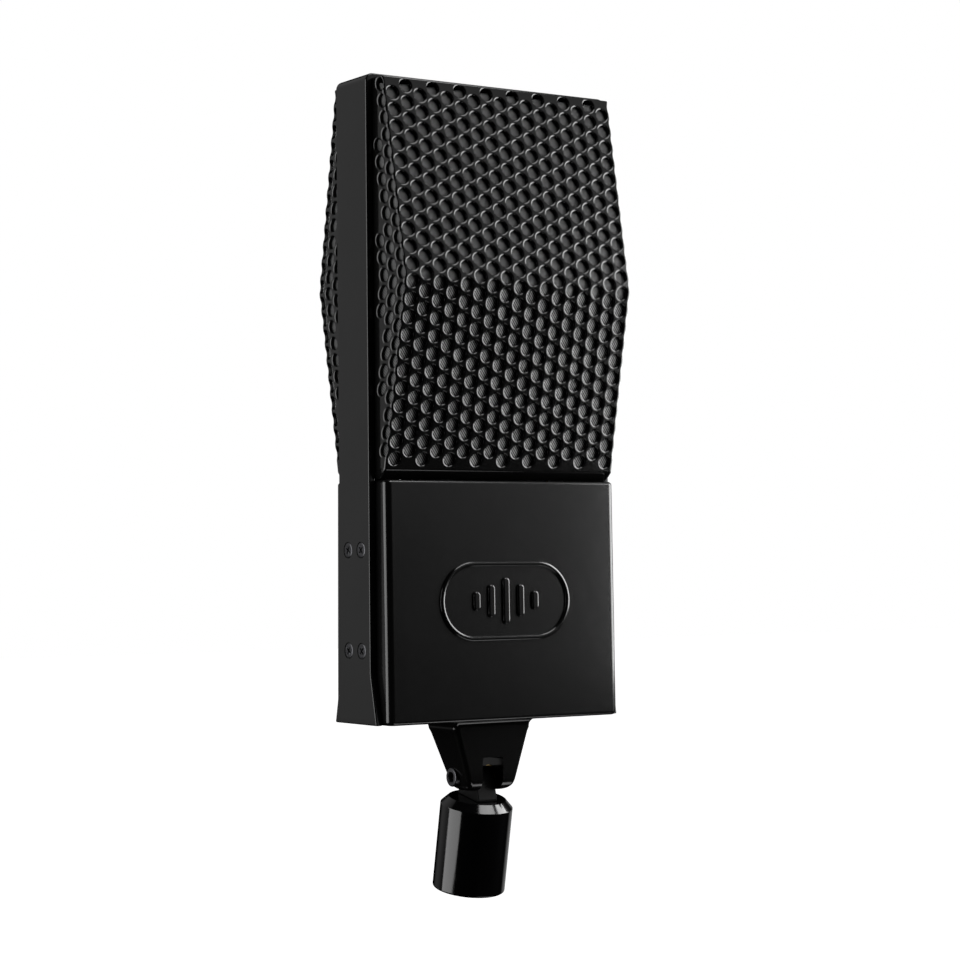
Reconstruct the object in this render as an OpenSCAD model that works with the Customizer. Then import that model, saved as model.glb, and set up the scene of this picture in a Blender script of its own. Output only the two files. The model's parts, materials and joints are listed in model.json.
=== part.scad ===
// Ribbon microphone: a two-sided head that tilts on a threaded stand stem.
// The origin is the centre of the stand thread's mouth, +Z is up and the front faces -Y.
// Everything on the head is drawn in the head's own frame, whose zero is the middle of its
// underside, and everything on the stem in the stem's frame, whose zero is the thread's mouth.

/* [Head] */
// Width over the chassis band
body_w = 106; // [104:0.5:110]
// Height of the head from its underside to the top of the band
body_h = 233.8; // [230:0.1:238]
// Depth of the band along most of its height
band_depth = 21.5; // [20:0.1:23]
// Thickness of the band's metal
band_wall = 2.5; // [2:0.1:2.8]
// Outer bend radius of the band's top corners
band_bend = 3; // [3:0.1:5]
// Depth of the band where it flares out at the bottom
flare_depth = 29.2; // [26:0.1:31]
// Height over which the band flares
flare_h = 18; // [12:1:22]

/* [Grille] */
// Distance from the middle of the head to the grille's ridge
ridge_half = 30.8; // [28:0.1:32]
// Height of the ridge above the underside
ridge_z = 158.9; // [152:0.1:164]
// Distance from the middle of the head to the grille's top fold
grille_top_half = 17.1; // [16:0.1:18.5]
// Distance from the middle of the head to the grille's bottom fold
grille_low_half = 17.1; // [16:0.1:18]
// Thickness of the perforated sheet
grille_wall = 1.2; // [1:0.1:1.4]
// Radius of the sheet's holes
hole_r = 2.35; // [1.8:0.05:2.5]
// Distance between the holes of one upright column
hole_pitch = 6.36; // [6.2:0.02:6.6]

/* [Covers] */
// Height of the lower covers
cover_h = 87.5; // [85:0.1:89]
// Distance from the middle of the head to a cover's face at its top
cover_top_half = 17.8; // [17:0.1:18.5]
// Distance from the middle of the head to a cover's face at its bottom
cover_low_half = 19; // [18:0.1:20]
// Thickness of a cover's metal
cover_wall = 1.5; // [1.2:0.1:1.8]
// Radius of a cover's upright edges
cover_edge = 2.5; // [2:0.1:3]

/* [Stem] */
// Angle between the stem and the upright head
rest_tilt = 11; // [0:0.5:20]
// Distance from the thread's mouth to the tilt pivot
stem_len = 43; // [42:0.5:46]
// Distance from the head's underside down to the tilt pivot
pivot_drop = 21.3; // [20:0.1:23]
// Radius of the stand collar
collar_r = 13.5; // [13:0.1:14]
// Radius of the bore that carries the 5/8 inch stand thread
thread_r = 7.43; // [7.3:0.01:7.5]
// Length of the stand thread
thread_len = 17; // [14:0.5:18]
// Radius of the pivot screw's shank
pivot_r = 2; // [1.5:0.05:2.2]

/* [Motor] */
// Height of the pole pieces
pole_h = 108; // [100:1:110]
// Height of the pole pieces' lower ends above the underside
pole_z = 106; // [104:1:108]
// Width of the gap that the ribbon hangs in
motor_gap = 5.2; // [5:0.1:6]
// Width of the ribbon
ribbon_w = 4.8; // [4:0.1:4.8]

/* [Hidden] */
$fn = 48;

eps = 0.01;
over = 1;
finish_black = [0.03, 0.03, 0.032];
plated_steel = [0.62, 0.62, 0.64];
dark_steel = [0.22, 0.22, 0.24];
brass_tone = [0.78, 0.62, 0.3];
copper_tone = [0.72, 0.4, 0.25];
board_green = [0.05, 0.3, 0.16];
plastic_black = [0.06, 0.06, 0.06];

// Where the head's frame sits in the object's frame
pivot_y = -stem_len * sin(rest_tilt);
pivot_z = stem_len * cos(rest_tilt);
head_z = pivot_z + pivot_drop;

// Band, rails and the brackets inside it
band_in = body_w / 2 - band_wall;
grille_side = band_in - 0.2;
grille_crease = body_w / 2 - 3.5;
grille_back = 7;
grille_top_z = body_h - band_wall - 0.1;
grille_fold_z = body_h - 2.1;
grille_low_fold_z = cover_h + 4;
grille_low_z = cover_h + 0.3;
grille_edge_half = 13.2;
rail_w = 3.8;
hole_column = 0.9 * hole_pitch;
front_columns = 8;
ridge_row = 1.5;
screen_gap = 0.15;
screen_wall = 0.4;

// Covers and brackets
cover_side = body_w / 2 - 2.7;
cover_back = 0.4;
bracket_x = cover_side - cover_wall - 0.1;
bracket_wall = 1.5;
leg_half = 8.5;
base_z = 0.3;
base_t = 3;
base_top = base_z + base_t;
deck_z = cover_h - 3;
deck_t = 2;
deck_half = 10.5;

// M3 screws that hold the covers and brackets to the band
band_screw_y = 4.55;
band_screw_z = [26.3, 62.5];
m3_r = 1.5;
m3_head_r = 2.8;
m3_head_h = 1.6;
screw_slack = 0.1;
nut_af = 5.5;
nut_h = 2.4;

// Lug and tilt pivot, in the head's frame
lug_top_half = 17.5;
lug_taper = 0.3;
lug_front = 9.8;
lug_front_taper = 0.035;
lug_rear = 10.5;
lug_rear_taper = 0.237;
lug_side_corner = 4.6;
lug_below_pin = 5;
lug_corner = 3.4;
lug_fillet = 3.2;
lug_end_z = -pivot_drop - lug_below_pin;
slot_w = 9;
slot_above_pin = 7.3;
washer_t = 0.4;
tongue_w = 8.2;
barrel_r = 3.5;
tongue_half = 7;
tongue_foot = 1.2;
pivot_fit = 0.06;
pivot_head_r = 3.5;
pivot_head_h = 4;
pivot_head_x = -12.6;
pivot_tip_x = 9.2;
m4_r = 2;
m4_head_r = 3.5;

// Stem, in its own frame
collar_top = stem_len - 8.3;
collar_bevel = 2.8;
bush_r = 9.2;
collar_web_z = 22;
spigot_r = 5;
spigot_z = 26;
relief_r = 6.6;

// Motor
gap_half = motor_gap / 2;
pole_x = 14;
pole_y = 6;
magnet_x = 22;
yoke_x = 26;
block_h = 10;
block_top_z = pole_z + pole_h;
block_low_z = pole_z - block_h;
ribbon_pitch = 2.4;
ribbon_wave = 0.7;
ribbon_t = 0.25;
notch_half = 7;
notch_y = 1.4;
clamp_t = 1.8;

// Electronics
plate_half = bracket_x - 5.7;
plate_y = 5.2;
plate_t = 1.5;
coil_x = -26;
coil_z = 56;
coil_r = 17;
coil_y = -7;
board_y = -0.8;
board_t = 1.6;
board_x = 22;
board_z = 56;
board_w = 44;
board_h = 40;
xlr_x = 31;
xlr_bore_r = 9.45;
xlr_shell_r = 11.9;
xlr_depth = 17;
pin_r = 1.2;
pin_ring_r = 5.85;
pin_angles = [140, 270, 40];
switch_x = -32;
switch_travel = 3;
knob_l = 4;
knob_w = 3.6;

// ---------------------------------------------------------------- helpers

// Places children drawn in the head's frame
module head() {
    translate([0, pivot_y, head_z]) children();
}

// Places children drawn in the stem's frame
module stem() {
    rotate([rest_tilt, 0, 0]) children();
}

// Extrudes a Y-Z outline to both sides along X
module along_x(length) {
    rotate([90, 0, 90]) linear_extrude(length, center = true) children();
}

// Extrudes an X-Z outline to both sides along Y
module along_y(length) {
    rotate([90, 0, 0]) linear_extrude(length, center = true) children();
}

module rod_x(r, x0, x1) {
    translate([x0, 0, 0]) rotate([0, 90, 0]) cylinder(r = r, h = x1 - x0);
}

module rod_y(r, y0, y1) {
    translate([0, y0, 0]) rotate([-90, 0, 0]) cylinder(r = r, h = y1 - y0);
}

module rod_z(r, z0, z1) {
    translate([0, 0, z0]) cylinder(r = r, h = z1 - z0);
}

module block(low, high) {
    translate(low) cube(high - low);
}

module to_rear() {
    mirror([0, 1, 0]) children();
}

module to_left() {
    mirror([1, 0, 0]) children();
}

// Eight-sided wire along a list of points, one ring of corners at each point
module wire(points, r) {
    sides = 8;
    last = len(points) - 1;
    ahead = [
        for (i = [0 : last])
        unit(points[min(i + 1, last)] - points[i]) + unit(points[i] - points[max(i - 1, 0)])
    ];
    across = [for (t = ahead) unit(cross(t, [0.31, 0.17, 0.05]))];
    upward = [for (i = [0 : last]) unit(cross(across[i], ahead[i]))];
    corners = [for (i = [0 : last], k = [0 : sides - 1])
        points[i] + r * (cos(360 * k / sides) * across[i] + sin(360 * k / sides) * upward[i])];
    walls = [for (i = [0 : last - 1], k = [0 : sides - 1], half = [0, 1])
        let (a = i * sides + k, b = i * sides + (k + 1) % sides)
        half == 0 ? [a, b, b + sides] : [a, b + sides, a + sides]];
    ends = [
        [for (k = [sides - 1 : -1 : 0]) k],
        [for (k = [0 : sides - 1]) last * sides + k]
    ];
    polyhedron(corners, concat(walls, ends));
}

function unit(v) = norm(v) == 0 ? v : v / norm(v);

// Countersunk screw along +X with its flat head at x = 0
module flat_screw(r, head_r, head_h, length) {
    difference() {
        union() {
            rotate([0, 90, 0]) cylinder(r1 = head_r, r2 = r, h = head_h);
            rod_x(r, head_h - eps, length);
        }
        for (a = [0, 90]) {
            rotate([a, 0, 0]) translate([head_h / 3, 0, 0]) cube([head_h, head_r * 1.2, 0.7], center = true);
        }
    }
}

// Cylinder-head screw along -Z, with the head standing on z = 0
module cap_screw(r, head_r, head_h, length) {
    difference() {
        union() {
            rod_z(head_r, 0, head_h);
            rod_z(r, -length, eps);
        }
        rotate(30) cylinder(r = head_r * 0.5, h = head_h + over, $fn = 6);
        translate([0, 0, -over]) cylinder(r = 0.1, h = eps);
    }
}

// Every band screw's place on one side
module at_band_screws() {
    for (z = band_screw_z, y = [-band_screw_y, band_screw_y]) {
        translate([0, y, z]) children();
    }
}

// ---------------------------------------------------------------- casing

module arch(w, h, r) {
    translate([-w / 2, 0]) square([w, h - r]);
    translate([-w / 2 + r, 0]) square([w - 2 * r, h]);
    for (side = [-1, 1]) {
        translate([side * (w / 2 - r), h - r]) circle(r);
    }
}

module chassis_band() {
    half = band_depth / 2;
    flare = flare_depth / 2;
    color(finish_black) head() difference() {
        intersection() {
            along_y(flare_depth + over) difference() {
                arch(body_w, body_h, band_bend);
                translate([0, -over]) arch(2 * band_in, body_h - band_wall + over, band_bend - band_wall + eps);
            }
            along_x(body_w + over) polygon([
                [-flare, 0], [flare, 0], [half, flare_h], [half, body_h + over],
                [-half, body_h + over], [-half, flare_h]
            ]);
        }
        for (side = [-1, 1]) {
            at_band_screws() {
                rod_x(m3_r + screw_slack, side * body_w / 2 - 5, side * body_w / 2 + 5);
                translate([side * (body_w / 2 + eps), 0, 0]) rotate([0, -side * 90, 0])
                    cylinder(r1 = m3_head_r + 0.05, r2 = m3_r + screw_slack, h = m3_head_h);
            }
        }
    }
}

// Outline of a cover seen from above, front half only
module cover_plan(inset) {
    x = cover_side - inset;
    y = cover_low_half - inset;
    r = cover_edge - inset / 2;
    translate([-x, -y + r]) square([2 * x, y - r]);
    translate([-x + r, -y]) square([2 * (x - r), r + eps]);
    for (side = [-1, 1]) {
        translate([side * (x - r), -y + r]) circle(r);
    }
}

// Space taken by a cover, or by its inside when inset
module cover_space(inset, low, high) {
    intersection() {
        translate([0, 0, low]) linear_extrude(high - low) cover_plan(inset);
        along_x(body_w) polygon([
            [-cover_low_half + inset, low], [-cover_top_half + inset, cover_h],
            [0, cover_h + over], [0, low]
        ]);
    }
}

module cover_shell() {
    difference() {
        cover_space(0, 0, cover_h);
        cover_space(cover_wall, -over, cover_h - cover_wall);
        // Room for the deck between the two covers' top edges
        block([-bracket_x, -deck_half - 0.2, cover_h - cover_wall - over], [bracket_x, over, cover_h + over]);
        block([-body_w, -cover_back, -over], [body_w, over, cover_h + over]);
        at_band_screws() rod_x(m3_r + screw_slack, -body_w, body_w);
    }
}

// Raised badge: an oval ring around five upright bars, like a sound meter
module badge() {
    ring_l = 28;
    ring_r = 14.5;
    ring_w = 1.8;
    bar_gap = 6.4;
    bar_w = 3;
    bar_h = [7, 12, 17, 12, 7];
    difference() {
        oval(ring_l, ring_r);
        oval(ring_l, ring_r - ring_w);
    }
    for (i = [0 : 4]) {
        translate([(i - 2) * bar_gap, 0]) rotate(90) oval(bar_h[i] - bar_w, bar_w / 2);
    }
}

// Slot shape of a given centre distance and end radius
module oval(length, r) {
    square([length, 2 * r], center = true);
    for (side = [-1, 1]) {
        translate([side * length / 2, 0]) circle(r);
    }
}

module cover_front() {
    lean = atan((cover_low_half - cover_top_half) / cover_h);
    badge_z = 43.6;
    badge_t = 0.8;
    face = cover_low_half - badge_z * tan(lean);
    color(finish_black) head() {
        cover_shell();
        translate([0, -face + 0.1, badge_z]) rotate([90 - lean, 0, 0]) linear_extrude(badge_t + 0.1) badge();
    }
}

module cover_rear() {
    color(finish_black) head() to_rear() cover_shell();
}

// Closed outer form of a grille, shrunk by inset all round and open at its back
module grille_space(inset) {
    slope = 1.02;
    intersection() {
        along_x(body_w) polygon([
            [-grille_back + inset, grille_top_z - inset],
            [-band_depth / 2 - 0.2, grille_top_z - inset],
            [-grille_top_half + inset * slope, grille_fold_z - inset * 1.2],
            [-ridge_half + inset * slope, ridge_z],
            [-grille_low_half + inset * 1.2, grille_low_fold_z + inset * 0.5],
            [-grille_edge_half + inset * 0.5, grille_low_z + inset],
            [-grille_back + inset, grille_low_z + inset]
        ]);
        translate([0, 0, grille_low_z - over]) linear_extrude(body_h) polygon([
            [grille_side - inset, over], [grille_side - inset, -band_depth / 2],
            [grille_crease - inset, -ridge_half - over], [-grille_crease + inset, -ridge_half - over],
            [-grille_side + inset, -band_depth / 2], [-grille_side + inset, over]
        ]);
    }
}

// Length and lean of the grille's slope above the ridge (dir 1) or below it (dir -1)
function slope_run(dir) =
    dir > 0
        ? [ridge_half - grille_top_half, grille_fold_z - ridge_z]
        : [ridge_half - grille_low_half, ridge_z - grille_low_fold_z];
function slope_lean(dir) = atan(slope_run(dir).x / slope_run(dir).y);

// Distances along a slope from the ridge to the holes of one column; the columns are staggered
function hole_rows(column, dir) =
    let (stagger = column % 2 == 0 ? hole_pitch / 2 : 0)
    let (start = dir > 0 ? ridge_row + stagger : (stagger > 0 ? stagger : hole_pitch) - ridge_row)
    [start : hole_pitch : norm(slope_run(dir)) - hole_r - 0.2];

// Holes through the front face of one slope
module front_holes(dir) {
    translate([0, -ridge_half, ridge_z]) rotate([dir * (90 - slope_lean(dir)), 0, 0])
        linear_extrude(5 * grille_wall, center = true)
            for (column = [-front_columns : front_columns], up = hole_rows(column, dir)) {
                translate([column * hole_column, up]) circle(hole_r, $fn = 24);
            }
}

// Holes of the columns that go on round the crease, through both side facets
module side_holes(dir) {
    for (side = [-1, 1]) {
        translate([side * (grille_crease + grille_side - grille_wall) / 2, 0, 0]) along_x(3 * grille_wall)
            translate([-ridge_half, ridge_z])
                for (column = [front_columns + 1 : front_columns + 4], up = hole_rows(column, dir)) {
                    back = column * hole_column - grille_crease + up * sin(slope_lean(dir));
                    if (back + hole_r + 0.8 < ridge_half - band_depth / 2) {
                        translate([back, dir * up * cos(slope_lean(dir))]) circle(hole_r, $fn = 24);
                    }
                }
    }
}

module grille_shell() {
    flange_w = 5.6;
    flange_z = [92, 226];
    difference() {
        grille_space(0);
        grille_space(grille_wall);
        for (dir = [-1, 1]) {
            front_holes(dir);
            side_holes(dir);
        }
    }
    for (side = [-1, 1]) {
        x0 = side > 0 ? grille_side - flange_w : -grille_side + eps;
        block([x0, -grille_back - grille_wall, flange_z[0]], [x0 + flange_w - eps, -grille_back, flange_z[1]]);
    }
}

module screen_shell() {
    difference() {
        grille_space(grille_wall + screen_gap);
        grille_space(grille_wall + screen_gap + screen_wall);
        // The grille's side flanges pass behind the cloth
        block([-body_w, -grille_back - grille_wall - 0.2, 0], [body_w, over, body_h]);
    }
}

module grille_front() {
    color(finish_black) head() grille_shell();
}

module grille_rear() {
    color(finish_black) head() to_rear() grille_shell();
}

module screen_front() {
    color(dark_steel) head() screen_shell();
}

module screen_rear() {
    color(dark_steel) head() to_rear() screen_shell();
}

module grille_rails() {
    color(dark_steel) head() for (side = [-1, 1]) {
        x0 = side > 0 ? band_in - rail_w : -band_in;
        block([x0, -grille_back + 0.1, 92], [x0 + rail_w, grille_back - 0.1, 226]);
    }
}

module base_bracket() {
    color(dark_steel) head() difference() {
        union() {
            block([-bracket_x, -leg_half, base_z], [bracket_x, leg_half, base_top]);
            translate([0, 0, base_z]) linear_extrude(base_t) {
                cover_plan(cover_wall + 0.2);
                mirror([0, 1]) cover_plan(cover_wall + 0.2);
            }
            for (side = [-1, 1]) {
                x0 = side > 0 ? bracket_x - bracket_wall : -bracket_x;
                block([x0, -leg_half, base_top - eps], [x0 + bracket_wall, leg_half, 34]);
            }
        }
        at_band_screws() rod_x(m3_r + screw_slack, -body_w, body_w);
        for (x = [-11, 11], y = [-5, 5]) {
            translate([x, y, 0]) rod_z(m4_r + screw_slack, -over, base_top + over);
        }
        translate([xlr_x, 0, 0]) rod_z(xlr_shell_r + 0.2, -over, base_top + over);
        for (side = [-1, 1]) {
            translate([xlr_x + side * 12, -side * 9.5, 0]) rod_z(m3_r + screw_slack, -over, base_top + over);
            translate([switch_x + side * 12, 0, 0]) rod_z(1.1, -over, base_top + over);
        }
        block([switch_x - knob_l / 2 - switch_travel / 2 - 0.6, -knob_w / 2 - 0.4, -over],
              [switch_x + knob_l / 2 + switch_travel / 2 + 0.6, knob_w / 2 + 0.4, base_top + over]);
    }
}

module deck_bracket() {
    color(dark_steel) head() difference() {
        union() {
            block([-bracket_x, -deck_half, deck_z], [bracket_x, deck_half, deck_z + deck_t]);
            for (side = [-1, 1]) {
                x0 = side > 0 ? bracket_x - bracket_wall : -bracket_x;
                block([x0, -leg_half, 54], [x0 + bracket_wall, leg_half, deck_z + eps]);
            }
        }
        at_band_screws() rod_x(m3_r + screw_slack, -body_w, body_w);
        for (x = [-36, 36]) {
            translate([x, 0, 0]) rod_z(m3_r + screw_slack, deck_z - over, deck_z + deck_t + over);
        }
        for (x = [-22, 22]) {
            translate([x, 0, 0]) rod_z(m3_r + screw_slack, deck_z - over, deck_z + deck_t + over);
        }
        // Holes for the two ribbon leads
        for (x = [-30, 30]) {
            translate([x, -3, 0]) rod_z(1.5, deck_z - over, deck_z + deck_t + over);
        }
    }
}

module band_screws_right() {
    color(plastic_black) head() translate([body_w / 2 - 0.05, 0, 0]) to_left()
        at_band_screws() flat_screw(m3_r, m3_head_r, m3_head_h, 9.6);
}

module band_screws_left() {
    color(plastic_black) head() translate([-body_w / 2 + 0.05, 0, 0])
        at_band_screws() flat_screw(m3_r, m3_head_r, m3_head_h, 9.6);
}

module clinch_nuts() {
    color(plated_steel) head() for (side = [-1, 1]) {
        x0 = side > 0 ? bracket_x - bracket_wall - nut_h : -bracket_x + bracket_wall;
        at_band_screws() translate([x0, 0, 0]) rotate([0, 90, 0]) difference() {
            cylinder(r = nut_af / sqrt(3), h = nut_h, $fn = 6);
            translate([0, 0, -over]) cylinder(r = m3_r + 0.02, h = nut_h + 2 * over);
        }
    }
}

// ---------------------------------------------------------------- lug and stem

// Points of an arc, for outlines that are one polygon
function arc(centre, r, from, to) =
    let (steps = 8)
    [
        for (i = [0 : steps])
        centre + r * [cos(from + (to - from) * i / steps), sin(from + (to - from) * i / steps)]
    ];

function mirrored(points) = [for (i = [len(points) - 1 : -1 : 0]) [-points[i].x, points[i].y]];

// Front outline of the lug: tapered, with round lower corners and a fillet under the head
module lug_front_outline() {
    lean = norm([1, lug_taper]);
    slant = atan(lug_taper);
    low = [lug_top_half + lug_taper * (lug_end_z + lug_corner) - lug_corner * lean, lug_end_z + lug_corner];
    fillet = [lug_top_half + lug_fillet * (lean - lug_taper), -lug_fillet - 0.1];
    right = concat(
        arc(low, lug_corner, -90, -slant),
        arc(fillet, lug_fillet, 180 - slant, 90),
        [[fillet.x, 0]]
    );
    polygon(concat(right, mirrored(right)));
}

// Side outline of the lug: a nearly upright front, a rear that slopes in and round lower corners
module lug_side_outline() {
    r = lug_side_corner;
    corner_z = lug_end_z + r;
    front = lug_front + lug_front_taper * corner_z - r;
    rear = lug_rear + lug_rear_taper * corner_z - r * norm([1, lug_rear_taper]);
    polygon(concat(
        [[-lug_front, 0]],
        arc([-front, corner_z], r, 180, 270),
        arc([rear, corner_z], r, -90, -atan(lug_rear_taper)),
        [[lug_rear, 0]]
    ));
}

module mount_lug() {
    color(finish_black) head() difference() {
        intersection() {
            along_y(4 * lug_rear) lug_front_outline();
            along_x(4 * lug_top_half) lug_side_outline();
        }
        block([-slot_w / 2, -lug_top_half, lug_end_z - over],
              [slot_w / 2, lug_top_half, -pivot_drop + slot_above_pin]);
        translate([0, 0, -pivot_drop]) {
            rod_x(pivot_r + 0.02, -lug_top_half, pivot_tip_x + 0.3);
            rod_x(pivot_head_r + screw_slack, -lug_top_half - over, pivot_head_x + pivot_head_h);
        }
        for (x = [-11, 11], y = [-5, 5]) {
            translate([x, y, 0]) rod_z(m4_r + 0.02, -9.6, over);
        }
    }
}

module lug_screws() {
    color(plated_steel) head() for (x = [-11, 11], y = [-5, 5]) {
        translate([x, y, base_top]) cap_screw(m4_r, m4_head_r, 4, base_top + 9);
    }
}

module pivot_screw() {
    color(dark_steel) head() translate([0, 0, -pivot_drop]) difference() {
        union() {
            rod_x(pivot_head_r - 0.4, pivot_head_x, pivot_head_x + pivot_head_h);
            rod_x(pivot_head_r, pivot_head_x + 0.4, pivot_head_x + pivot_head_h);
            rod_x(pivot_r, pivot_head_x + pivot_head_h - eps, pivot_tip_x);
        }
        translate([pivot_head_x - over, 0, 0]) rotate([0, 90, 0]) cylinder(r = 1.75, h = 3 + over, $fn = 6);
    }
}

module friction_washers() {
    color(brass_tone) head() translate([0, 0, -pivot_drop]) for (side = [-1, 1]) {
        x0 = side > 0 ? slot_w / 2 - washer_t : -slot_w / 2;
        difference() {
            rod_x(3.8, x0, x0 + washer_t);
            rod_x(pivot_r + 0.05, x0 - over, x0 + washer_t + over);
        }
    }
}

module swivel_tongue() {
    color(finish_black) stem() difference() {
        union() {
            along_x(tongue_w) {
                translate([0, stem_len]) circle(barrel_r);
                polygon([
                    [-tongue_half, collar_top], [tongue_half, collar_top],
                    [tongue_half, collar_top + tongue_foot], [barrel_r * 0.96, stem_len],
                    [-barrel_r * 0.96, stem_len], [-tongue_half, collar_top + tongue_foot]
                ]);
            }
            rod_z(spigot_r, spigot_z, collar_top + eps);
        }
        translate([0, 0, stem_len]) rod_x(pivot_r + pivot_fit, -tongue_w, tongue_w);
        rod_z(2.5, spigot_z - over, spigot_z + 8);
    }
}

module stand_collar() {
    color(finish_black) stem() difference() {
        rotate_extrude($fn = 96) polygon([
            [0, 0], [collar_r - 0.6, 0], [collar_r, 0.6], [collar_r, collar_top - collar_bevel],
            [collar_r - collar_bevel, collar_top], [0, collar_top]
        ]);
        rod_z(bush_r, -over, thread_len);
        rod_z(relief_r, thread_len - over, collar_web_z);
        rod_z(2.7, collar_web_z - over, spigot_z + over);
        rod_z(spigot_r + 0.02, spigot_z, collar_top + over);
    }
}

module thread_bush() {
    color(brass_tone) stem() difference() {
        rod_z(bush_r, 0, thread_len);
        rod_z(thread_r, -over, thread_len + over);
    }
}

module collar_screw() {
    color(plated_steel) stem() translate([0, 0, collar_web_z]) rotate([180, 0, 0])
        cap_screw(2.48, 4.25, 4, 11);
}

// ---------------------------------------------------------------- ribbon motor

module pole_piece() {
    ports = 6;
    difference() {
        translate([0, 0, pole_z]) linear_extrude(pole_h) polygon([
            [gap_half, -1.6], [7, -pole_y], [pole_x, -pole_y],
            [pole_x, pole_y], [7, pole_y], [gap_half, 1.6]
        ]);
        for (i = [0 : ports - 1]) {
            translate([10.5, 0, pole_z + pole_h * (i + 0.5) / ports]) rod_y(1.8, -pole_y - over, pole_y + over);
        }
    }
}

module magnets() {
    count = 4;
    step = pole_h / count;
    for (i = [0 : count - 1]) {
        block([pole_x, -5, pole_z + step * i + 1], [magnet_x, 5, pole_z + step * (i + 1) - 1]);
    }
}

module yoke() {
    block([magnet_x, -pole_y, pole_z], [yoke_x, pole_y, pole_z + pole_h]);
}

module pole_piece_right() {
    color(plated_steel) head() pole_piece();
}

module pole_piece_left() {
    color(plated_steel) head() to_left() pole_piece();
}

module magnets_right() {
    color(dark_steel) head() magnets();
}

module magnets_left() {
    color(dark_steel) head() to_left() magnets();
}

module yoke_right() {
    color(plated_steel) head() yoke();
}

module yoke_left() {
    color(plated_steel) head() to_left() yoke();
}

// End block, with a notch in its front half where the ribbon is clamped
module motor_block(z0) {
    difference() {
        block([-yoke_x, -pole_y, z0], [yoke_x, pole_y, z0 + block_h]);
        block([-notch_half, -pole_y - over, z0 - over], [notch_half, notch_y, z0 + block_h + over]);
        for (side = [-1, 1], y = [-3, 3]) {
            translate([side * 24, y, 0]) rod_z(1.1, z0 - over, z0 + block_h + over);
        }
        for (x = [-12, 12]) {
            translate([x, 0, 0]) rod_z(1.3, z0 - over, z0 + block_h + over);
        }
    }
}

module motor_block_top() {
    color("silver") head() motor_block(block_top_z);
}

module motor_block_bottom() {
    color("silver") head() motor_block(block_low_z);
}

module motor_screws() {
    color(plated_steel) head() for (side = [-1, 1], y = [-3, 3]) {
        translate([side * 24, y, block_top_z + block_h]) cap_screw(1, 1.9, 1.6, block_h);
        translate([side * 24, y, block_low_z]) rotate([180, 0, 0]) cap_screw(1, 1.9, 1.6, block_h);
    }
}

// Corrugated foil, clamped flat at both ends
module ribbon() {
    waves = floor(pole_h / ribbon_pitch);
    start = pole_z + (pole_h - waves * ribbon_pitch) / 2;
    path = concat(
        [[0, block_low_z + 1]],
        [
            for (i = [0 : 2 * waves])
            [i % 2 == 0 ? 0 : ribbon_wave * (i % 4 == 1 ? 1 : -1), start + i * ribbon_pitch / 2]
        ],
        [[0, block_top_z + block_h - 1]]
    );
    last = len(path) - 1;
    color("silver") head() along_x(ribbon_w) polygon(concat(
        [for (i = [0 : last]) path[i] - [ribbon_t / 2, 0]],
        [for (i = [last : -1 : 0]) path[i] + [ribbon_t / 2, 0]]
    ));
}

module at_clamps() {
    for (z = [block_low_z + block_h / 2, block_top_z + block_h / 2]) {
        translate([0, 0, z]) children();
    }
}

module clamp_insulators() {
    color(plastic_black) head() at_clamps() difference() {
        block([-6.5, ribbon_t / 2, -4.5], [6.5, notch_y, 4.5]);
        for (x = [-4.5, 4.5]) {
            translate([x, 0, 0]) rod_y(0.85, -over, notch_y + over);
        }
    }
}

module ribbon_clamps() {
    color(brass_tone) head() at_clamps() difference() {
        block([-6, -ribbon_t / 2 - clamp_t, -4], [6, -ribbon_t / 2, 4]);
        for (x = [-4.5, 4.5]) {
            translate([x, 0, 0]) rod_y(0.85, -3, over);
        }
    }
}

module clamp_screws() {
    color(plated_steel) head() at_clamps() for (x = [-4.5, 4.5]) {
        translate([x, -ribbon_t / 2 - clamp_t, 0]) rotate([90, 0, 0]) cap_screw(0.8, 1.45, 1.2, 3.2);
    }
}

module motor_hanger() {
    color(dark_steel) head() difference() {
        block([-18, -6.5, body_h - band_wall - 3.2], [18, 6.5, body_h - band_wall]);
        for (x = [-12, 12]) {
            translate([x, 0, 0]) rod_z(1.3, body_h - 8, body_h);
        }
    }
}

// Hat-shaped foot between the deck and the motor's lower isolators
module motor_foot() {
    low = deck_z + deck_t;
    high = block_low_z - 2.5;
    color(dark_steel) head() difference() {
        union() {
            block([-16, -6.5, high - 1.5], [16, 6.5, high]);
            for (side = [-1, 1]) {
                x0 = side > 0 ? 14.5 : -16;
                block([x0, -6.5, low], [x0 + 1.5, 6.5, high]);
                x1 = side > 0 ? 14.5 : -26;
                block([x1, -6.5, low], [x1 + 11.5, 6.5, low + 1.5]);
            }
        }
        for (x = [-22, 22]) {
            translate([x, 0, 0]) rod_z(m3_r + screw_slack, low - over, low + 3);
        }
        for (x = [-12, 12]) {
            translate([x, 0, 0]) rod_z(1.3, high - 3, high + over);
        }
    }
}

module motor_isolators() {
    top = block_top_z + block_h;
    color(plastic_black) head() for (x = [-12, 12]) {
        translate([x, 0, 0]) difference() {
            union() {
                rod_z(3.6, top, body_h - band_wall - 3.2);
                rod_z(3.6, block_low_z - 2.5, block_low_z);
            }
            rod_z(1.3, 0, body_h);
        }
    }
}

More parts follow.
